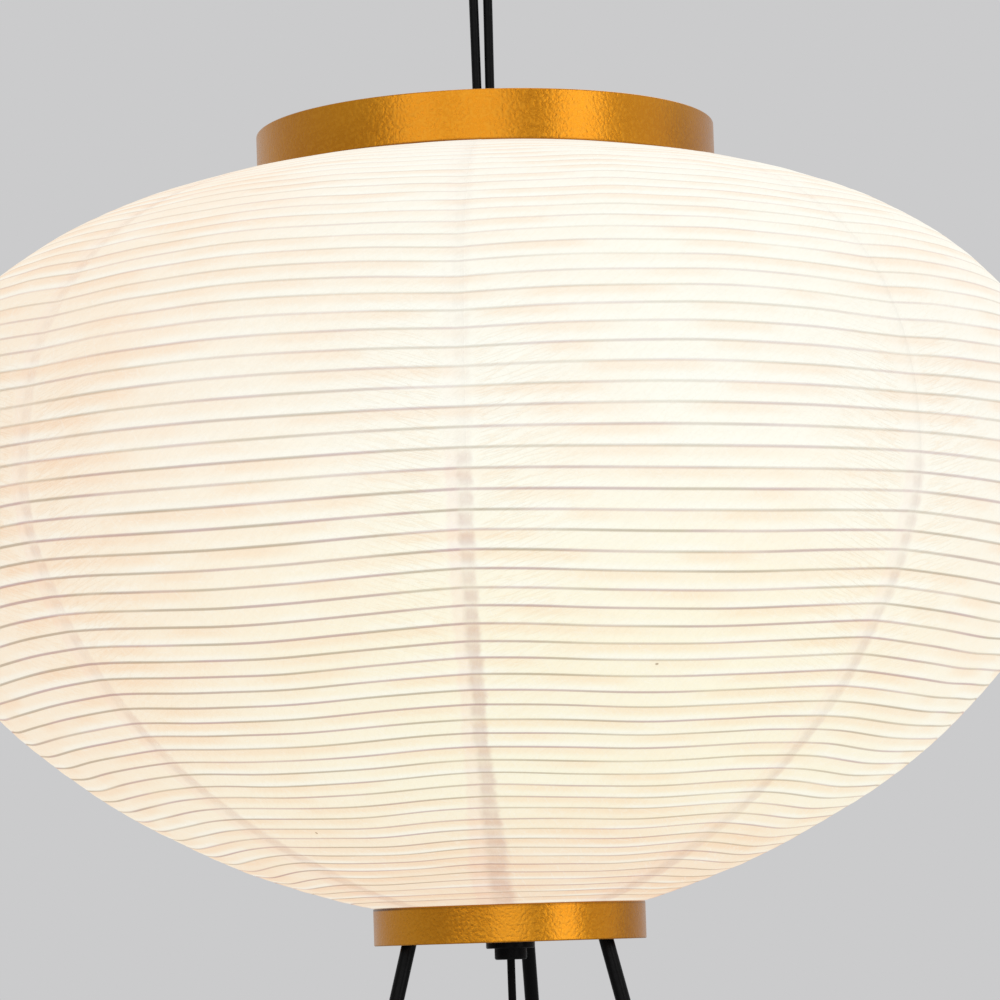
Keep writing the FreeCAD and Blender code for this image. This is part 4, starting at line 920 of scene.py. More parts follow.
class Palette:
    """Every finish of the lamp, built once."""

    def __init__(self, effects: Effects) -> None:
        """Build the materials.

        Args:
            effects: The shared effects.
        """
        black = linear(4, 4, 5)
        finishes = (
            WashiPaper(),
            GoldLacquer(),
            OpalGlobe(),
            Finish("black_enamel", black, 0.34, specular=0.09, grain=700.0, scuffs=0.015, dust=0.008),
            Finish("rib_enamel", linear(150, 138, 124), 0.5, grain=1800.0, dust=0.05),
            Finish("zinc_plating", linear(196, 196, 198), 0.32, metallic=1.0, grain=2200.0, scuffs=0.4),
            Finish("foot_rubber", linear(20, 20, 21), 0.82, specular=0.3, grain=1400.0, grain_depth=0.0001),
            Finish("moulded_black", black, 0.48, specular=0.1, grain=2400.0, scuffs=0.015, dust=0.01),
            Finish("cord_sheath", linear(4, 3, 4), 0.55, specular=0.08, grain=1600.0, scuffs=0.0, dust=0.005),
            Finish("button_grey", linear(52, 53, 56), 0.36, grain=2600.0),
            Finish("fired_ceramic", linear(236, 232, 222), 0.38, grain=500.0, patch_tone=0.95, scuffs=0.1),
            Finish("turned_brass", linear(214, 176, 98), 0.3, metallic=1.0, grain=2000.0),
            Finish("nickel_plating", linear(214, 210, 202), 0.2, metallic=1.0, grain_depth=0.00001),
            Finish("bulb_plastic", linear(238, 237, 232), 0.42, grain=1900.0, patch_tone=0.96, scuffs=0.05),
            Finish("strap_nylon", linear(26, 26, 28), 0.8, grain=1700.0, grain_depth=0.00025),
        )
        self.made = {Coat(finish.name): finish.build(effects) for finish in finishes}

    def __getitem__(self, coat: Coat) -> bpy.types.Material:
        """The material of one finish."""
        return self.made[coat]


def dress(material: bpy.types.Material, *nodes: str) -> None:
    """Give CAD nodes a finish.

    Args:
        material: The finish.
        nodes: Names of the nodes.
    """
    for node in nodes:
        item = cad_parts[node]
        if not item.material_slots:
            item.data.materials.append(material)
        for place in item.material_slots:
            place.material = material


def new_piece(
    name: str,
    points: np.ndarray,
    faces: Sequence[Sequence[int]],
    material: bpy.types.Material,
    replaced: Iterable[str],
) -> bpy.types.Object:
    """Make a mesh piece of the lamp.

    Args:
        name: The piece's name.
        points: Its points in metres.
        faces: Point numbers of each face.
        material: Its finish.
        replaced: CAD nodes that it stands for.

    Returns:
        The new object.
    """
    mesh = bpy.data.meshes.new(name)
    mesh.from_pydata([tuple(point) for point in points], [], faces)
    mesh.polygons.foreach_set("use_smooth", [True] * len(mesh.polygons))
    mesh.materials.append(material)
    mesh.update()
    item = bpy.data.objects.new(name, mesh)
    bpy.context.scene.collection.objects.link(item)
    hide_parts(*replaced)
    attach(item, LAMP)
    return item


def tube_walls(
    rings: int, sides: int, start: int = 0, closed: bool = True, turned: bool = False
) -> list[tuple[int, ...]]:
    """Faces between each ring of points and the next one.

    Args:
        rings: How many rings there are.
        sides: Points in each ring.
        start: Number of the first point.
        closed: Whether the last ring joins the first.
        turned: Whether the faces look the other way.

    Returns:
        Point numbers of each face.
    """
    faces = []
    for ring in range(rings if closed else rings - 1):
        here, there = start + ring * sides, start + (ring + 1) % rings * sides
        for side in range(sides):
            following = (side + 1) % sides
            face = (here + side, here + following, there + following, there + side)
            faces.append((face[0], *face[:0:-1]) if turned else face)
    return faces


# ---- camera, floor and lamps -----------------------------------------------------------------


@dataclass(frozen=True)
class Softbox:
    """A soft lamp that faces the lantern; its bearing is in degrees, to the right of the camera's side."""

    name: str
    bearing: float
    height: float
    distance: float
    size: tuple[float, float]
    watts: float


@dataclass
class Studio:
    """The camera at the photograph's viewpoint, a pale floor and soft plain light."""

    eye: Point = (0.0, -2.428, 0.800)
    lens: float = 158.0
    pitch: float = math.radians(5.755)
    turn: float = math.radians(0.047)
    roll: float = math.radians(1.82)
    wall_tone: Colour = linear(203, 203, 204)
    floor_tone: Colour = linear(214, 213, 211)
    ambient: float = 0.44
    ambient_tone: Colour = (0.97, 0.98, 1.0)
    floor_radius: float = 7.0
    floor_sides: int = 96
    floor_level: float = -0.0004
    lit_height: float = 0.95
    softboxes: tuple[Softbox, ...] = (
        Softbox("left_softbox", -33.0, 1.85, 3.2, (1.4, 1.5), 8.0),
        Softbox("front_softbox", -1.0, 1.5, 3.4, (1.9, 2.2), 14.3),
        Softbox("right_softbox", 47.0, 1.4, 3.2, (1.4, 2.4), 18.5),
        Softbox("side_softbox", 86.0, 1.4, 3.2, (2.0, 2.4), 5.0),
        Softbox("high_softbox", 4.0, 3.3, 1.8, (2.0, 2.0), 12.0),
        Softbox("top_softbox", 160.0, 3.4, 1.6, (2.2, 2.2), 18.0),
    )

    def make_camera(self) -> None:
        """Put the camera at the photograph's viewpoint."""
        data = bpy.data.cameras.new("photo_camera")
        data.lens = self.lens
        data.sensor_width = 36.0
        camera = bpy.data.objects.new("photo_camera", data)
        bpy.context.scene.collection.objects.link(camera)
        ahead = Vector(
            (
                math.sin(self.turn) * math.cos(self.pitch),
                math.cos(self.turn) * math.cos(self.pitch),
                math.sin(self.pitch),
            )
        )
        level = Vector((math.cos(self.turn), -math.sin(self.turn), 0.0))
        above = level.cross(ahead)
        right = level * math.cos(self.roll) - above * math.sin(self.roll)
        top = level * math.sin(self.roll) + above * math.cos(self.roll)
        turned = Matrix((right, top, -ahead)).transposed().to_4x4()
        camera.matrix_world = Matrix.Translation(Vector(self.eye)) @ turned
        bpy.context.scene.camera = camera

    def make_world(self) -> None:
        """Even light from all round, with the pale wall's tone behind the lamp."""
        world = bpy.data.worlds.new("studio")
        bpy.context.scene.world = world
        world.use_nodes = True
        graph = Graph(world.node_tree)
        ground = world.node_tree.nodes["Background"]
        ground.inputs["Color"].default_value = (*self.ambient_tone, 1.0)
        ground.inputs["Strength"].default_value = self.ambient
        seen = graph.node("Background")
        graph.feed(seen.inputs["Color"], self.wall_tone)
        ray = graph.node("LightPath")
        shown = graph.maths("MAXIMUM", ray.outputs["Is Camera Ray"], ray.outputs["Is Glossy Ray"])
        shown = graph.maths("MAXIMUM", shown, ray.outputs["Is Transmission Ray"])
        mixed = graph.node("MixShader")
        graph.feed(mixed.inputs[0], shown)
        graph.tree.links.new(ground.outputs[0], mixed.inputs[1])
        graph.tree.links.new(seen.outputs[0], mixed.inputs[2])
        graph.tree.links.new(mixed.outputs[0], world.node_tree.nodes["World Output"].inputs[0])

    def make_lamp(self, softbox: Softbox) -> None:
        """Add a softbox that faces the lantern.

        Args:
            softbox: Its place, size and power.
        """
        data = bpy.data.lights.new(softbox.name, "AREA")
        data.shape = "RECTANGLE"
        data.size, data.size_y = softbox.size
        data.energy = softbox.watts
        item = bpy.data.objects.new(softbox.name, data)
        bpy.context.scene.collection.objects.link(item)
        angle = math.radians(softbox.bearing)
        aside, ahead = math.sin(angle) * softbox.distance, -math.cos(angle) * softbox.distance
        item.location = (aside, ahead, softbox.height)
        target = Vector((0.0, 0.0, self.lit_height))
        item.rotation_mode = "QUATERNION"
        item.rotation_quaternion = (target - item.location).to_track_quat("-Z", "Y")

    def make_floor(self) -> None:
        """A wide pale floor that keeps the lamp's shadow."""
        bpy.ops.mesh.primitive_circle_add(
            vertices=self.floor_sides,
            radius=self.floor_radius,
            fill_type="NGON",
            location=(0.0, 0.0, self.floor_level),
        )
        floor = bpy.context.active_object
        floor.name = "studio_floor"
        material, graph, shader = new_material("floor_paint")
        cloudy = graph.smooth(graph.cloud(3.0, 3.0), 0.4, 0.6, 0.0, 0.25)
        tone = graph.blend(cloudy, self.floor_tone, linear(208, 207, 205))
        graph.feed(shader.inputs["Base Color"], tone)
        shader.inputs["Roughness"].default_value = 0.85
        floor.data.materials.append(material)

    def build(self) -> None:
        """Make everything round the lamp."""
        bpy.context.scene.view_settings.view_transform = "Standard"
        self.make_world()
        self.make_floor()
        for softbox in self.softboxes:
            self.make_lamp(softbox)


# ---- cord ------------------------------------------------------------------------------------


@dataclass
class CoilTie:
    """A woven strap round one side of the coil, made as one closed loop; its lapped end is not drawn."""

    thick: float = 0.0008
    corner: float = 0.003
    corner_steps: int = 6
    weave: float = 0.0006
    sink: float = 0.0002
    half: tuple[tuple[float, float], ...] = ((-1.0, 0.0), (-0.94, 0.25), (-0.5, 0.30), (0.0, 0.22))
    turns: tuple[tuple[int, int, float], ...] = ((1, 1, 0.0), (-1, 1, 0.5), (-1, -1, 1.0), (1, -1, 1.5))

    def loop(self, middle: Vector, half_x: float, half_z: float) -> list[tuple[float, ...]]:
        """The strap's way round the coil.

        Args:
            middle: The middle of the strap's box.
            half_x: Half its width.
            half_z: Half its height.

        Returns:
            At each step the place across and up, and the two parts of the way out.
        """
        made = []
        for sign_x, sign_z, start in self.turns:
            for step in range(self.corner_steps + 1):
                angle = (start + 0.5 * step / self.corner_steps) * math.pi
                out_x, out_z = math.cos(angle), math.sin(angle)
                x = middle.x + sign_x * (half_x - self.corner) + self.corner * out_x
                z = middle.z + sign_z * (half_z - self.corner) + self.corner * out_z
                made.append((x, z, out_x, out_z))
        return made

    def build(self, palette: Palette) -> bpy.types.Object:
        """Make the strap.

        Args:
            palette: The finishes.

        Returns:
            The strap's object.
        """
        low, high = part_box("coil_tie")
        middle = (low + high) / 2
        half_x, half_z = (high.x - low.x) / 2, (high.z - low.z) / 2
        width = (high.y - low.y) / 2
        loop = self.loop(middle, half_x, half_z)
        across = [*self.half, *((-share, lift) for share, lift in self.half[-2::-1])]
        section = [(share, lift * self.weave) for share, lift in across]
        section += [(share, -self.thick) for share, _ in across[::-1]]
        points = []
        for x, z, out_x, out_z in loop:
            for share, lift in section:
                depth = lift - self.sink
                points.append((x + out_x * depth, middle.y + share * width, z + out_z * depth))
        faces = tube_walls(len(loop), len(section))
        return new_piece("coil_strap", np.array(points), faces, palette[Coat.STRAP], ["coil_tie"])


@dataclass
class MainsCord:
    """The cord from the grip to the foot switch, and on through the tied coil to the plug."""

    diameter: float = 0.0044
    exit_point: Point = (0.0, 0.0, 0.7905)
    upper_length: float = 0.900
    lower_length: float = 1.447
    upper_route: tuple[Point, ...] = (
        (0.0, 0.0, 0.7905),
        (0.0, 0.0, 0.752),
        (0.0016, 0.0006, 0.696),
        (0.005, 0.0028, 0.636),
        (0.008, 0.0068, 0.576),
        (0.0088, 0.0118, 0.516),
        (0.007, 0.0166, 0.456),
        (0.0032, 0.020, 0.396),
        (0.0, 0.0236, 0.336),
        (-0.0012, 0.029, 0.277),
        (0.0, 0.0376, 0.219),
        (0.0032, 0.050, 0.163),
        (0.0075, 0.067, 0.112),
        (0.0125, 0.087, 0.070),
        (0.019, 0.106, 0.038),
        (0.027, 0.125, 0.0145),
        (0.0345, 0.1435, 0.0036),
        (0.033, 0.166, 0.0023),
        (0.015, 0.183, 0.0034),
        (0.002, 0.186, 0.008),
        (-0.016, 0.186, 0.008),
    )
    middle_route: tuple[Point, ...] = (
        (-0.128, 0.186, 0.008),
        (-0.144, 0.186, 0.008),
        (-0.159, 0.1825, 0.0034),
        (-0.175, 0.169, 0.0023),
        (-0.1835, 0.146, 0.0023),
        (-0.1856, 0.119, 0.0027),
        (-0.184887, 0.092, 0.0032),
    )
    tail_route: tuple[Point, ...] = (
        (-0.180037, 0.035, 0.00805),
        (-0.1794, 0.014, 0.0034),
        (-0.1775, -0.006, 0.0023),
        (-0.1746, -0.027, 0.0034),
        (-0.173, -0.046, 0.0068),
        (-0.173, -0.062, 0.0068),
    )
    coil_centre: tuple[float, float] = (-0.150, 0.060)
    coil_middle: float = 0.0264
    coil_pitch: float = 0.00485
    coil_low: float = 0.0032
    coil_high: float = 0.00805
    half_turns: int = 7
    points_per_half: int = 8

    def coil_route(self) -> list[Point]:
        """Points of the coil: half turns inward, one that climbs, and half turns outward.

        Returns:
            The points in metres, in the cord's order.
        """
        outer = self.coil_middle + self.coil_pitch * self.half_turns / 4
        x, radius, way = self.coil_centre[0] - outer, outer, -1
        spread = math.pi / self.points_per_half
        made = []
        for count in range(2 * self.half_turns):
            centre = x - way * radius
            reach = radius / math.cos(spread / 2)
            for step in range(self.points_per_half):
                angle = (step + 0.5) * spread
                share = (step + 0.5) / self.points_per_half
                level = self.coil_low if count < self.half_turns else self.coil_high
                if count == self.half_turns:
                    eased = share * share * (3 - 2 * share)
                    level = self.coil_low + (self.coil_high - self.coil_low) * eased
                made.append(
                    (
                        centre + way * reach * math.cos(angle),
                        self.coil_centre[1] + way * reach * math.sin(angle),
                        level,
                    )
                )
            x -= way * 2 * radius
            radius += self.coil_pitch / 2 * (-1 if count < self.half_turns else 1)
            way = -way
        return made

    def curve(self, name: str, points: Sequence[Point], material: bpy.types.Material) -> bpy.types.Object:
        """Make a round cord on one smooth spline.

        Args:
            name: The piece's name.
            points: Control points in metres.
            material: Its finish.

        Returns:
            The cord's object.
        """
        data = bpy.data.curves.new(name, "CURVE")
        data.dimensions = "3D"
        data.bevel_depth = self.diameter / 2
        data.bevel_resolution = 5
        data.use_fill_caps = True
        data.resolution_u = 8
        spline = data.splines.new("NURBS")
        spline.points.add(len(points) - 1)
        for place, point in zip(spline.points, points):
            place.co = (*point, 1.0)
        spline.order_u = 3
        spline.use_endpoint_u = True
        data.materials.append(material)
        item = bpy.data.objects.new(name, data)
        bpy.context.scene.collection.objects.link(item)
        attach(item, LAMP)
        return item

    def build(self, palette: Palette) -> None:
        """Args:
            palette: The finishes.
        """
        upper = self.curve("cord_to_switch", self.upper_route, palette[Coat.SHEATH])
        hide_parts("cord_upper")
        route = [*self.middle_route, *self.coil_route(), *self.tail_route]
        lower = self.curve("cord_to_plug", route, palette[Coat.SHEATH])
        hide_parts("cord_middle", "cord_coil", "cord_tail")
        CoilTie().build(palette)


# ---- shade -----------------------------------------------------------------------------------


@dataclass
class ShadeOutline:
    """The paper's outline: half a superellipse above the widest line and half below it."""

    widest: float = 0.3275
    middle: float = 1.0375
    low: float = 0.8212
    high: float = 1.2238
    low_radius: float = 0.0758
    high_radius: float = 0.1288
    lower_fullness: float = 1.72
    upper_fullness: float = 2.42
    gaps: int = RIB_GAPS
    spread: float = 0.12
    samples: int = 2401
    tangent_reach: float = 0.0015
    travel: np.ndarray = field(init=False)
    radius: np.ndarray = field(init=False)
    height: np.ndarray = field(init=False)

    def __post_init__(self) -> None:
        """Work out the outline's fine points once."""
        step = np.linspace(0.0, math.pi, self.samples)
        self.height = self.low + (self.high - self.low) * (1 - np.cos(step)) / 2
        below = self.reach(self.middle - self.low, self.low_radius, self.lower_fullness)
        above = self.reach(self.high - self.middle, self.high_radius, self.upper_fullness)
        upper = self.height > self.middle
        reach = np.where(upper, above, below)
        fullness = np.where(upper, self.upper_fullness, self.lower_fullness)
        share = np.minimum(np.abs(self.height - self.middle) / reach, 1.0)
        self.radius = self.widest * (1 - share**fullness) ** (1 / fullness)
        run = np.hypot(np.diff(self.radius), np.diff(self.height))
        self.travel = np.concatenate([[0.0], np.cumsum(run)])

    def reach(self, rise: float, radius: float, fullness: float) -> float:
        """Height of a whole half, so that it has the ring's radius at the ring.

        Args:
            rise: From the widest line to the ring.
            radius: The ring's radius.
            fullness: The superellipse's exponent.

        Returns:
            The height in metres.
        """
        return rise / (1 - (radius / self.widest) ** fullness) ** (1 / fullness)

    def along(self, row: np.ndarray) -> np.ndarray:
        """Distance up the outline at a rib count."""
        share = row / self.gaps
        return self.travel[-1] * (share + self.spread / 2 * share * (1 - share))

    def at(self, travelled: np.ndarray) -> tuple[np.ndarray, np.ndarray, np.ndarray, np.ndarray]:
        """The outline at a distance along it.

        Args:
            travelled: Distances from the lower ring.

        Returns:
            Radius, height, and the two parts of the way out.
        """
        radius = np.interp(travelled, self.travel, self.radius)
        height = np.interp(travelled, self.travel, self.height)
        small = self.tangent_reach
        before, after = np.maximum(travelled - small, 0.0), np.minimum(travelled + small, self.travel[-1])
        along_r = np.interp(after, self.travel, self.radius) - np.interp(before, self.travel, self.radius)
        along_z = np.interp(after, self.travel, self.height) - np.interp(before, self.travel, self.height)
        length = np.hypot(along_r, along_z)
        return radius, height, along_z / length, -along_r / length


@dataclass
class PaperShade:
    """Eight lapped strips of paper over sixty-four thin hoops."""

    outline: ShadeOutline = field(default_factory=ShadeOutline)
    seam_bearing: float = -92.6
    seam_strays: tuple[float, ...] = (0.6, -1.0, -0.4, 0.3, -0.5, 0.4, -0.3, 2.2)
    lap_strengths: tuple[float, ...] = (1.0, 0.62, 0.8, 0.55, 0.9, 0.7, 0.6, 0.62)
    laps_above: tuple[float, ...] = (0.24, 0.2, 0.4, 0.3, 0.25, 0.5, 0.3, 0.6)
    columns: int = 22
    row_steps: tuple[float, ...] = (0.0, 0.06, 0.13, 0.38, 0.62, 0.87, 0.94)
    paper: float = 0.0005
    sheet_share: float = 0.8
    ridge: float = 0.00035
    ridge_half: float = 0.0009
    bulge: float = 0.00034
    bulge_spread: float = 0.0003
    bulge_noise: tuple[float, float] = (3.0, 0.9)
    swell: float = 0.0009
    swell_noise: tuple[float, float] = (23.0, 11.0)
    stray: float = 0.00045
    stray_noise: tuple[float, float] = (1.7, 0.83)
    ring_rows: float = 4.0
    lap: float = 0.0038
    lap_under: float = 0.00024
    lap_over: float = 0.00010
    low_sag: float = 0.0050
    high_sag: float = -0.0052
    sag_shares: tuple[float, ...] = (0.86, 1.0, 1.0, 1.0, 1.0, 1.0, 1.1, 1.0)
    sag_skews: tuple[float, ...] = (0.0, 0.1, 0.0, 0.0, 0.0, 0.0, 0.15, 0.0)
    sag_rows: float = 8.0
    arch_start: float = 0.38
    arch_span: float = 0.34
    low_ease: float = 0.7
    high_ease: float = 0.2
    foot_twist: float = -2.6
    twist_rows: float = 12.0
    lean: float = -0.006
    lean_power: float = 0.6
    low_neck: tuple[tuple[float, float], ...] = ((0.0723, 0.8105), (0.0723, 0.8207))
    high_neck: tuple[tuple[float, float], ...] = ((0.1253, 1.2243), (0.1253, 1.2345))
    wire: float = 0.00065
    hoop_steps: int = 20
    hoop_sides: int = 6
    hoop_gap: float = 0.0001

    @property
    def strips(self) -> int:
        """How many strips go round."""
        return len(self.seam_strays)

    def seam(self, number: int) -> float:
        """Bearing of a seam in degrees, which grows on past the last one."""
        turns, place = divmod(number, self.strips)
        return self.seam_bearing + 360.0 * (turns + place / self.strips) + self.seam_strays[place]

    def bearing(self, strip: int, share: np.ndarray, row: np.ndarray) -> np.ndarray:
        """Angle round the shade at a place across a strip.

        Args:
            strip: Number of the strip.
            share: Place across it, 0 and 1 at its seams.
            row: Rib count up the shade, since the strips turn a little at the foot.

        Returns:
            The angles in radians.
        """
        twist = self.foot_twist * np.clip(1 - row / self.twist_rows, 0.0, 1.0) ** 2
        return np.radians(self.seam(strip) + (self.seam(strip + 1) - self.seam(strip)) * share + twist)

    def ripple(self, x: np.ndarray, y: np.ndarray, z: np.ndarray) -> np.ndarray:
        """Smooth noise from -1 to 1 at each of some points."""
        flat = [noise.noise(Vector(point)) for point in zip(x.ravel(), y.ravel(), z.ravel())]
        return np.array(flat).reshape(x.shape)

    def held(self, row: np.ndarray, reach: float) -> np.ndarray:
        """0 at both rings and 1 from some ribs inward."""
        return np.clip(np.minimum(row, self.outline.gaps - row) / reach, 0.0, 1.0)

    def sag_at(self, row: np.ndarray, share: np.ndarray, strip: int) -> np.ndarray:
        """How far the ribs hang below their seams, or arch above them in the upper half.

        Args:
            row: Rib count up the shade.
            share: Place across the strip, 0 and 1 at its seams.
            strip: Number of the strip, since two of them hang lowest off their middles.

        Returns:
            The drop along the paper, in metres.
        """
        rise = np.clip((row / self.outline.gaps - self.arch_start) / self.arch_span, 0.0, 1.0)
        rise = rise * rise * (3 - 2 * rise)
        low = self.low_sag * self.sag_shares[strip]
        depth = low + (self.high_sag - low) * rise
        inside = np.clip(share, 0.0, 1.0)
        inside = inside + self.sag_skews[strip] * (1 - rise) * inside * (1 - inside)
        eased = self.low_ease + (self.high_ease - self.low_ease) * rise
        shape = (1 - eased) * 4 * inside * (1 - inside) + eased * np.sin(np.pi * inside) ** 2
        return depth * self.held(row, self.sag_rows) * shape

    def surface(self, row: np.ndarray, share: np.ndarray, strip: int, depth: float = 0.0) -> np.ndarray:
        """Points of the paper's outer face.

        Args:
            row: Rib count up the shade.
            share: Place across the strip, 0 and 1 at its seams.
            strip: Number of the strip.
            depth: Distance inward from the face.

        Returns:
            The points.
        """
        angle = self.bearing(strip, share, row)
        cosine, sine = np.cos(angle), np.sin(angle)
        held = self.held(row, self.ring_rows)
        wide, tall = self.stray_noise
        stray = self.stray * held * self.ripple(cosine * wide, sine * wide, row * tall)
        travelled = self.outline.along(row) - self.sag_at(row, share, strip) + stray
        travelled = np.clip(travelled, 0.0, self.outline.travel[-1])
        radius, height, out_r, out_z = self.outline.at(travelled)
        wide, tall = self.swell_noise
        swell = self.ripple(wide * radius * cosine, wide * radius * sine, height * tall)
        lift = held * self.swell * swell - depth
        belly = np.sin(np.pi * np.clip(row / self.outline.gaps, 0.0, 1.0)) ** self.lean_power
        wide, tall = radius + out_r * lift, height + out_z * lift
        return np.stack([wide * cosine + self.lean * belly, wide * sine, tall], axis=-1)

    def rows(self) -> np.ndarray:
        """Rib counts of the mesh's rows, close together at each rib."""
        steps = [rib + step for rib in range(self.outline.gaps) for step in self.row_steps]
        return np.array(steps + [float(self.outline.gaps)])

    def make_strip(self, strip: int, palette: Palette) -> None:
        """Make one strip of paper.

        Args:
            strip: Its number.
            palette: The finishes.
        """
        rows = self.rows()
        travelled = self.outline.along(rows)
        width = math.radians(self.seam(strip + 1) - self.seam(strip))
        wide = self.outline.at(travelled)[0][:, None] * width
        row, share = np.meshgrid(rows, np.linspace(0.0, 1.0, self.columns + 1), indexing="ij")
        overlap = self.lap / wide
        row = np.hstack([rows[:, None], row, rows[:, None]])
        share = np.hstack([-overlap, share, 1.0 + overlap])
        pitch = np.gradient(travelled, rows)[:, None] * np.ones_like(share)
        points = self.surface(row, share, strip)
        points = points + self.way_out(points) * self.relief(row, share, strip, pitch)[..., None]
        grids = {"rib_row": row, "strip_across": share * wide, "strip_wide": wide + 0 * share}
        grids["rib_pitch"] = pitch
        for name, values in (("lap_strength", self.lap_strengths), ("lap_above", self.laps_above)):
            here, there = values[strip], values[(strip + 1) % self.strips]
            grids[name] = np.where(share < 0.5, here, there)
        points, grids = self.with_necks(points, grids, self.bearing(strip, share[[0, -1]], row[[0, -1]]))
        self.strip_piece(strip, points, grids, palette)

    def relief(self, row: np.ndarray, share: np.ndarray, strip: int, pitch: np.ndarray) -> np.ndarray:
        """How far the paper stands out: over each rib, between ribs and at the laps.

        Args:
            row: Rib count up the shade.
            share: Place across the strip.
            strip: Number of the strip.
            pitch: Distance between ribs.

        Returns:
            The distances in metres.
        """
        off = np.abs(row - np.round(row)) * pitch
        ridge = self.ridge * np.exp(-((off / self.ridge_half) ** 2))
        step = row - np.floor(row)
        angle = self.bearing(strip, share, row)
        wide, tall = self.bulge_noise
        seed = self.ripple(wide * np.cos(angle), wide * np.sin(angle), np.floor(row) * tall)
        lift = ridge + (self.bulge + self.bulge_spread * seed) * 4 * step * (1 - step)
        lift[:, 0] -= self.lap_under
        lift[:, -1] += self.lap_over
        return lift

    def way_out(self, points: np.ndarray) -> np.ndarray:
        """Unit vectors out of a grid of points."""
        up, round_ = np.gradient(points, axis=0), np.gradient(points, axis=1)
        out = np.cross(round_, up)
        return out / np.linalg.norm(out, axis=-1, keepdims=True)

    def with_necks(
        self, points: np.ndarray, grids: dict[str, np.ndarray], bearings: np.ndarray
    ) -> tuple[np.ndarray, dict[str, np.ndarray]]:
        """Add the paper that is tucked into both rings.

        Args:
            points: Grid of points.
            grids: Stored numbers by name, on the same grid.
            bearings: Angles of the lowest and the highest row.

        Returns:
            The longer grids.
        """

        def level(radius: float, height: float, angles: np.ndarray) -> np.ndarray:
            """One row of a neck."""
            flat = [radius * np.cos(angles), radius * np.sin(angles), np.full_like(angles, height)]
            return np.stack(flat, axis=-1)[None]

        low = [level(*place, bearings[0]) for place in self.low_neck]
        high = [level(*place, bearings[1]) for place in self.high_neck]
        longer = {
            name: np.concatenate([grid[:1], grid[:1], grid, grid[-1:], grid[-1:]])
            for name, grid in grids.items()
        }
        longer["rib_row"][:2], longer["rib_row"][-2:] = 0.5, self.outline.gaps - 0.5
        return np.concatenate([*low, points, *high]), longer

    def strip_piece(
        self, strip: int, points: np.ndarray, grids: dict[str, np.ndarray], palette: Palette
    ) -> None:
        """Turn the grids into a piece with thickness and stored numbers.

        Args:
            strip: Number of the strip.
            points: Grid of points.
            grids: Stored numbers by name.
            palette: The finishes.
        """
        tall, wide = points.shape[:2]
        inner = points - self.way_out(points) * self.paper * self.sheet_share
        inner[:2], inner[-2:] = self.neck_inside(points[:2]), self.neck_inside(points[-2:])
        both = np.concatenate([points.reshape(-1, 3), inner.reshape(-1, 3)])
        faces = []
        count = tall * wide
        for r in range(tall - 1):
            for c in range(wide - 1):
                a, b = r * wide + c, r * wide + c + 1
                d, e = a + wide, b + wide
                faces.append((a, b, e, d))
                faces.append((count + a, count + d, count + e, count + b))
        rim = [r * wide for r in range(tall)] + [(tall - 1) * wide + c for c in range(1, wide)]
        rim += [r * wide + wide - 1 for r in range(tall - 2, -1, -1)] + list(range(wide - 2, 0, -1))
        for here, there in zip(rim, rim[1:] + rim[:1]):
            faces.append((here, there, count + there, count + here))
        replaced = [f"paper_gore_{strip + 1}"]
        item = new_piece(f"paper_strip_{strip + 1}", both, faces, palette[Coat.PAPER], replaced)
        for name, grid in grids.items():
            values = np.concatenate([grid.ravel(), grid.ravel()]).astype(np.float32)
            item.data.attributes.new(name, "FLOAT", "POINT").data.foreach_set("value", values)

    def neck_inside(self, points: np.ndarray) -> np.ndarray:
        """Neck points moved towards the axis by the paper's thickness."""
        moved = points.copy()
        radius = np.hypot(points[..., 0], points[..., 1])
        moved[..., :2] *= ((radius - self.paper * self.sheet_share) / radius)[..., None]
        return moved

    def make_hoops(self, palette: Palette) -> None:
        """Make the thin hoops that follow the paper's ribs.

        Args:
            palette: The finishes.
        """
        shares = np.arange(self.hoop_steps)[None] / self.hoop_steps
        points, faces = [], []
        sides = self.hoop_sides
        around = self.strips * self.hoop_steps
        deep = self.paper + self.wire + self.hoop_gap
        for rib in range(1, self.outline.gaps):
            row = np.full_like(shares, float(rib))
            ring = np.concatenate([self.surface(row, shares, strip, deep)[0] for strip in range(self.strips)])
            start = len(points)
            for x, y, z in ring:
                length = math.hypot(x, y)
                for side in range(sides):
                    angle = side * 2 * math.pi / sides
                    wide = 1 + self.wire * math.cos(angle) / length
                    points.append((x * wide, y * wide, z + self.wire * math.sin(angle)))
            faces += tube_walls(around, sides, start, turned=True)
        new_piece("shade_hoops", np.array(points), faces, palette[Coat.RIB], ["rib_hoops"])

    def build(self, palette: Palette) -> None:
        """Make the paper and its hoops.

        Args:
            palette: The finishes.
        """
        for strip in range(self.strips):
            self.make_strip(strip, palette)
        self.make_hoops(palette)
        dress(palette[Coat.RIB], "lower_end_hoop", "upper_end_hoop")


# ---- sub-assemblies that keep the CAD shapes -------------------------------------------------


@dataclass
class KeptShapes:
    """Pieces that keep their CAD shapes, listed by the finish that they take."""

    finishes: dict[Coat, tuple[str, ...]]

    def build(self, palette: Palette) -> None:
        """Give each piece its finish.

        Args:
            palette: The finishes.
        """
        for coat, nodes in self.finishes.items():
            dress(palette[coat], *nodes)


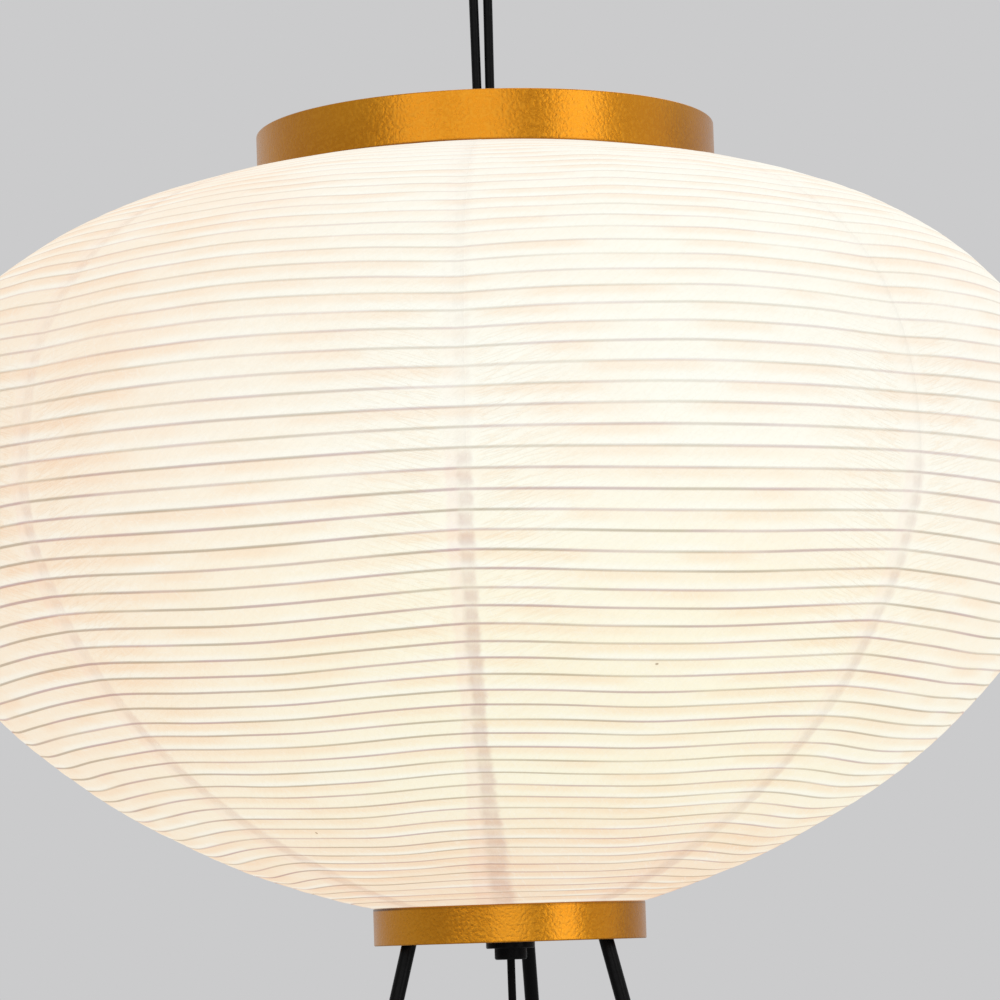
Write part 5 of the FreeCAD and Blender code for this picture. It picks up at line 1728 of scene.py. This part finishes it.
@dataclass
class MetalWork(KeptShapes):
    """The gold bands and the black stand: rings, crown, stretcher, base and legs."""

    finishes: dict[Coat, tuple[str, ...]] = field(
        default_factory=lambda: {
            Coat.GOLD: ("top_ring", "bottom_ring"),
            Coat.ENAMEL: (
                "crown_spider",
                "crown_stop",
                "stretcher_rod",
                "base_spider",
                "leg_sockets",
                "leg_left",
                "leg_right",
                "leg_back",
                "hub_flange",
            ),
            Coat.STEEL: (
                "leg_nuts",
                "stretcher_ferrules",
                "stop_screw",
                "riser_tube",
                "riser_nut",
                "riser_washer",
            ),
            Coat.RUBBER: ("foot_left", "foot_right", "foot_back"),
        }
    )


@dataclass
class LightSource(KeptShapes):
    """The lamp holder on its riser, and the bulb."""

    finishes: dict[Coat, tuple[str, ...]] = field(
        default_factory=lambda: {
            Coat.MOULDED: ("holder_cap", "holder_sleeve", "cord_grip"),
            Coat.BRASS: ("screw_shell", "centre_contact"),
            Coat.CERAMIC: ("holder_insert",),
            Coat.NICKEL: ("bulb_cap", "bulb_tip"),
            Coat.BULB_WHITE: ("bulb_neck", "led_board"),
            Coat.GLOBE: ("bulb_globe",),
            Coat.SHEATH: ("inner_flex",),
        }
    )


@dataclass
class SwitchAndPlug(KeptShapes):
    """The foot switch and the plug on the cord."""

    finishes: dict[Coat, tuple[str, ...]] = field(
        default_factory=lambda: {
            Coat.MOULDED: ("switch_base", "switch_cover", "plug_body"),
            Coat.SHEATH: ("switch_reliefs", "plug_relief"),
            Coat.BUTTON: ("switch_button",),
            Coat.STEEL: ("switch_screws",),
            Coat.BRASS: ("switch_contacts",),
            Coat.NICKEL: ("plug_pins",),
        }
    )


@dataclass
class ButtonSpring:
    """The coil spring under the foot button; the real one shortens as the button goes down, this one keeps
    its length.
    """

    joint: str = "foot_button_press"
    travel: float = 0.003
    middle: tuple[float, float] = (-0.072, 0.186)
    radius: float = 0.0045
    wire: float = 0.0004
    turns: int = 4
    steps_per_turn: int = 24
    sides: int = 10

    def build(self, palette: Palette) -> None:
        """Make the spring at its resting length.

        Args:
            palette: The finishes.
        """
        lowest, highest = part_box("switch_spring")
        count = self.turns * self.steps_per_turn + 1
        turn = np.linspace(0.0, 2 * np.pi * self.turns, count)
        climb = np.linspace(lowest.z + self.wire, highest.z - self.wire, count)
        outward = np.stack([np.cos(turn), np.sin(turn), 0 * turn], axis=1)
        route = self.radius * outward + np.stack([0 * turn, 0 * turn, climb], axis=1)
        ahead = np.gradient(route, axis=0)
        ahead /= np.linalg.norm(ahead, axis=1, keepdims=True)
        across = np.cross(ahead, outward)
        around = np.linspace(0.0, 2 * np.pi, self.sides, endpoint=False)[None, :, None]
        ring = np.cos(around) * outward[:, None] + np.sin(around) * across[:, None]
        points = (route[:, None] + self.wire * ring).reshape(-1, 3) + np.array([*self.middle, 0.0])
        steel, replaced = palette[Coat.STEEL], ["switch_spring"]
        spring = new_piece("button_spring", points, self.faces(count), steel, replaced)
        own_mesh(spring)

    def faces(self, count: int) -> list[tuple[int, ...]]:
        """Faces of the wire, with its two cut ends.

        Args:
            count: How many rings of points it has.

        Returns:
            Point numbers of each face.
        """
        first_end = tuple(reversed(range(self.sides)))
        last_end = tuple(range((count - 1) * self.sides, count * self.sides))
        return [first_end, *tube_walls(count, self.sides, closed=False), last_end]


def main() -> None:
    """Build the lamp piece by piece."""
    logging.basicConfig(level=logging.INFO, format="%(message)s")
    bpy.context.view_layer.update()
    studio = Studio()
    studio.make_camera()
    palette = Palette(Effects())
    for piece in (MainsCord(), PaperShade(), MetalWork(), LightSource(), SwitchAndPlug(), ButtonSpring()):
        piece.build(palette)
        LOG.info("built %s", type(piece).__name__)
    studio.build()


if __name__ == "__main__":
    main()
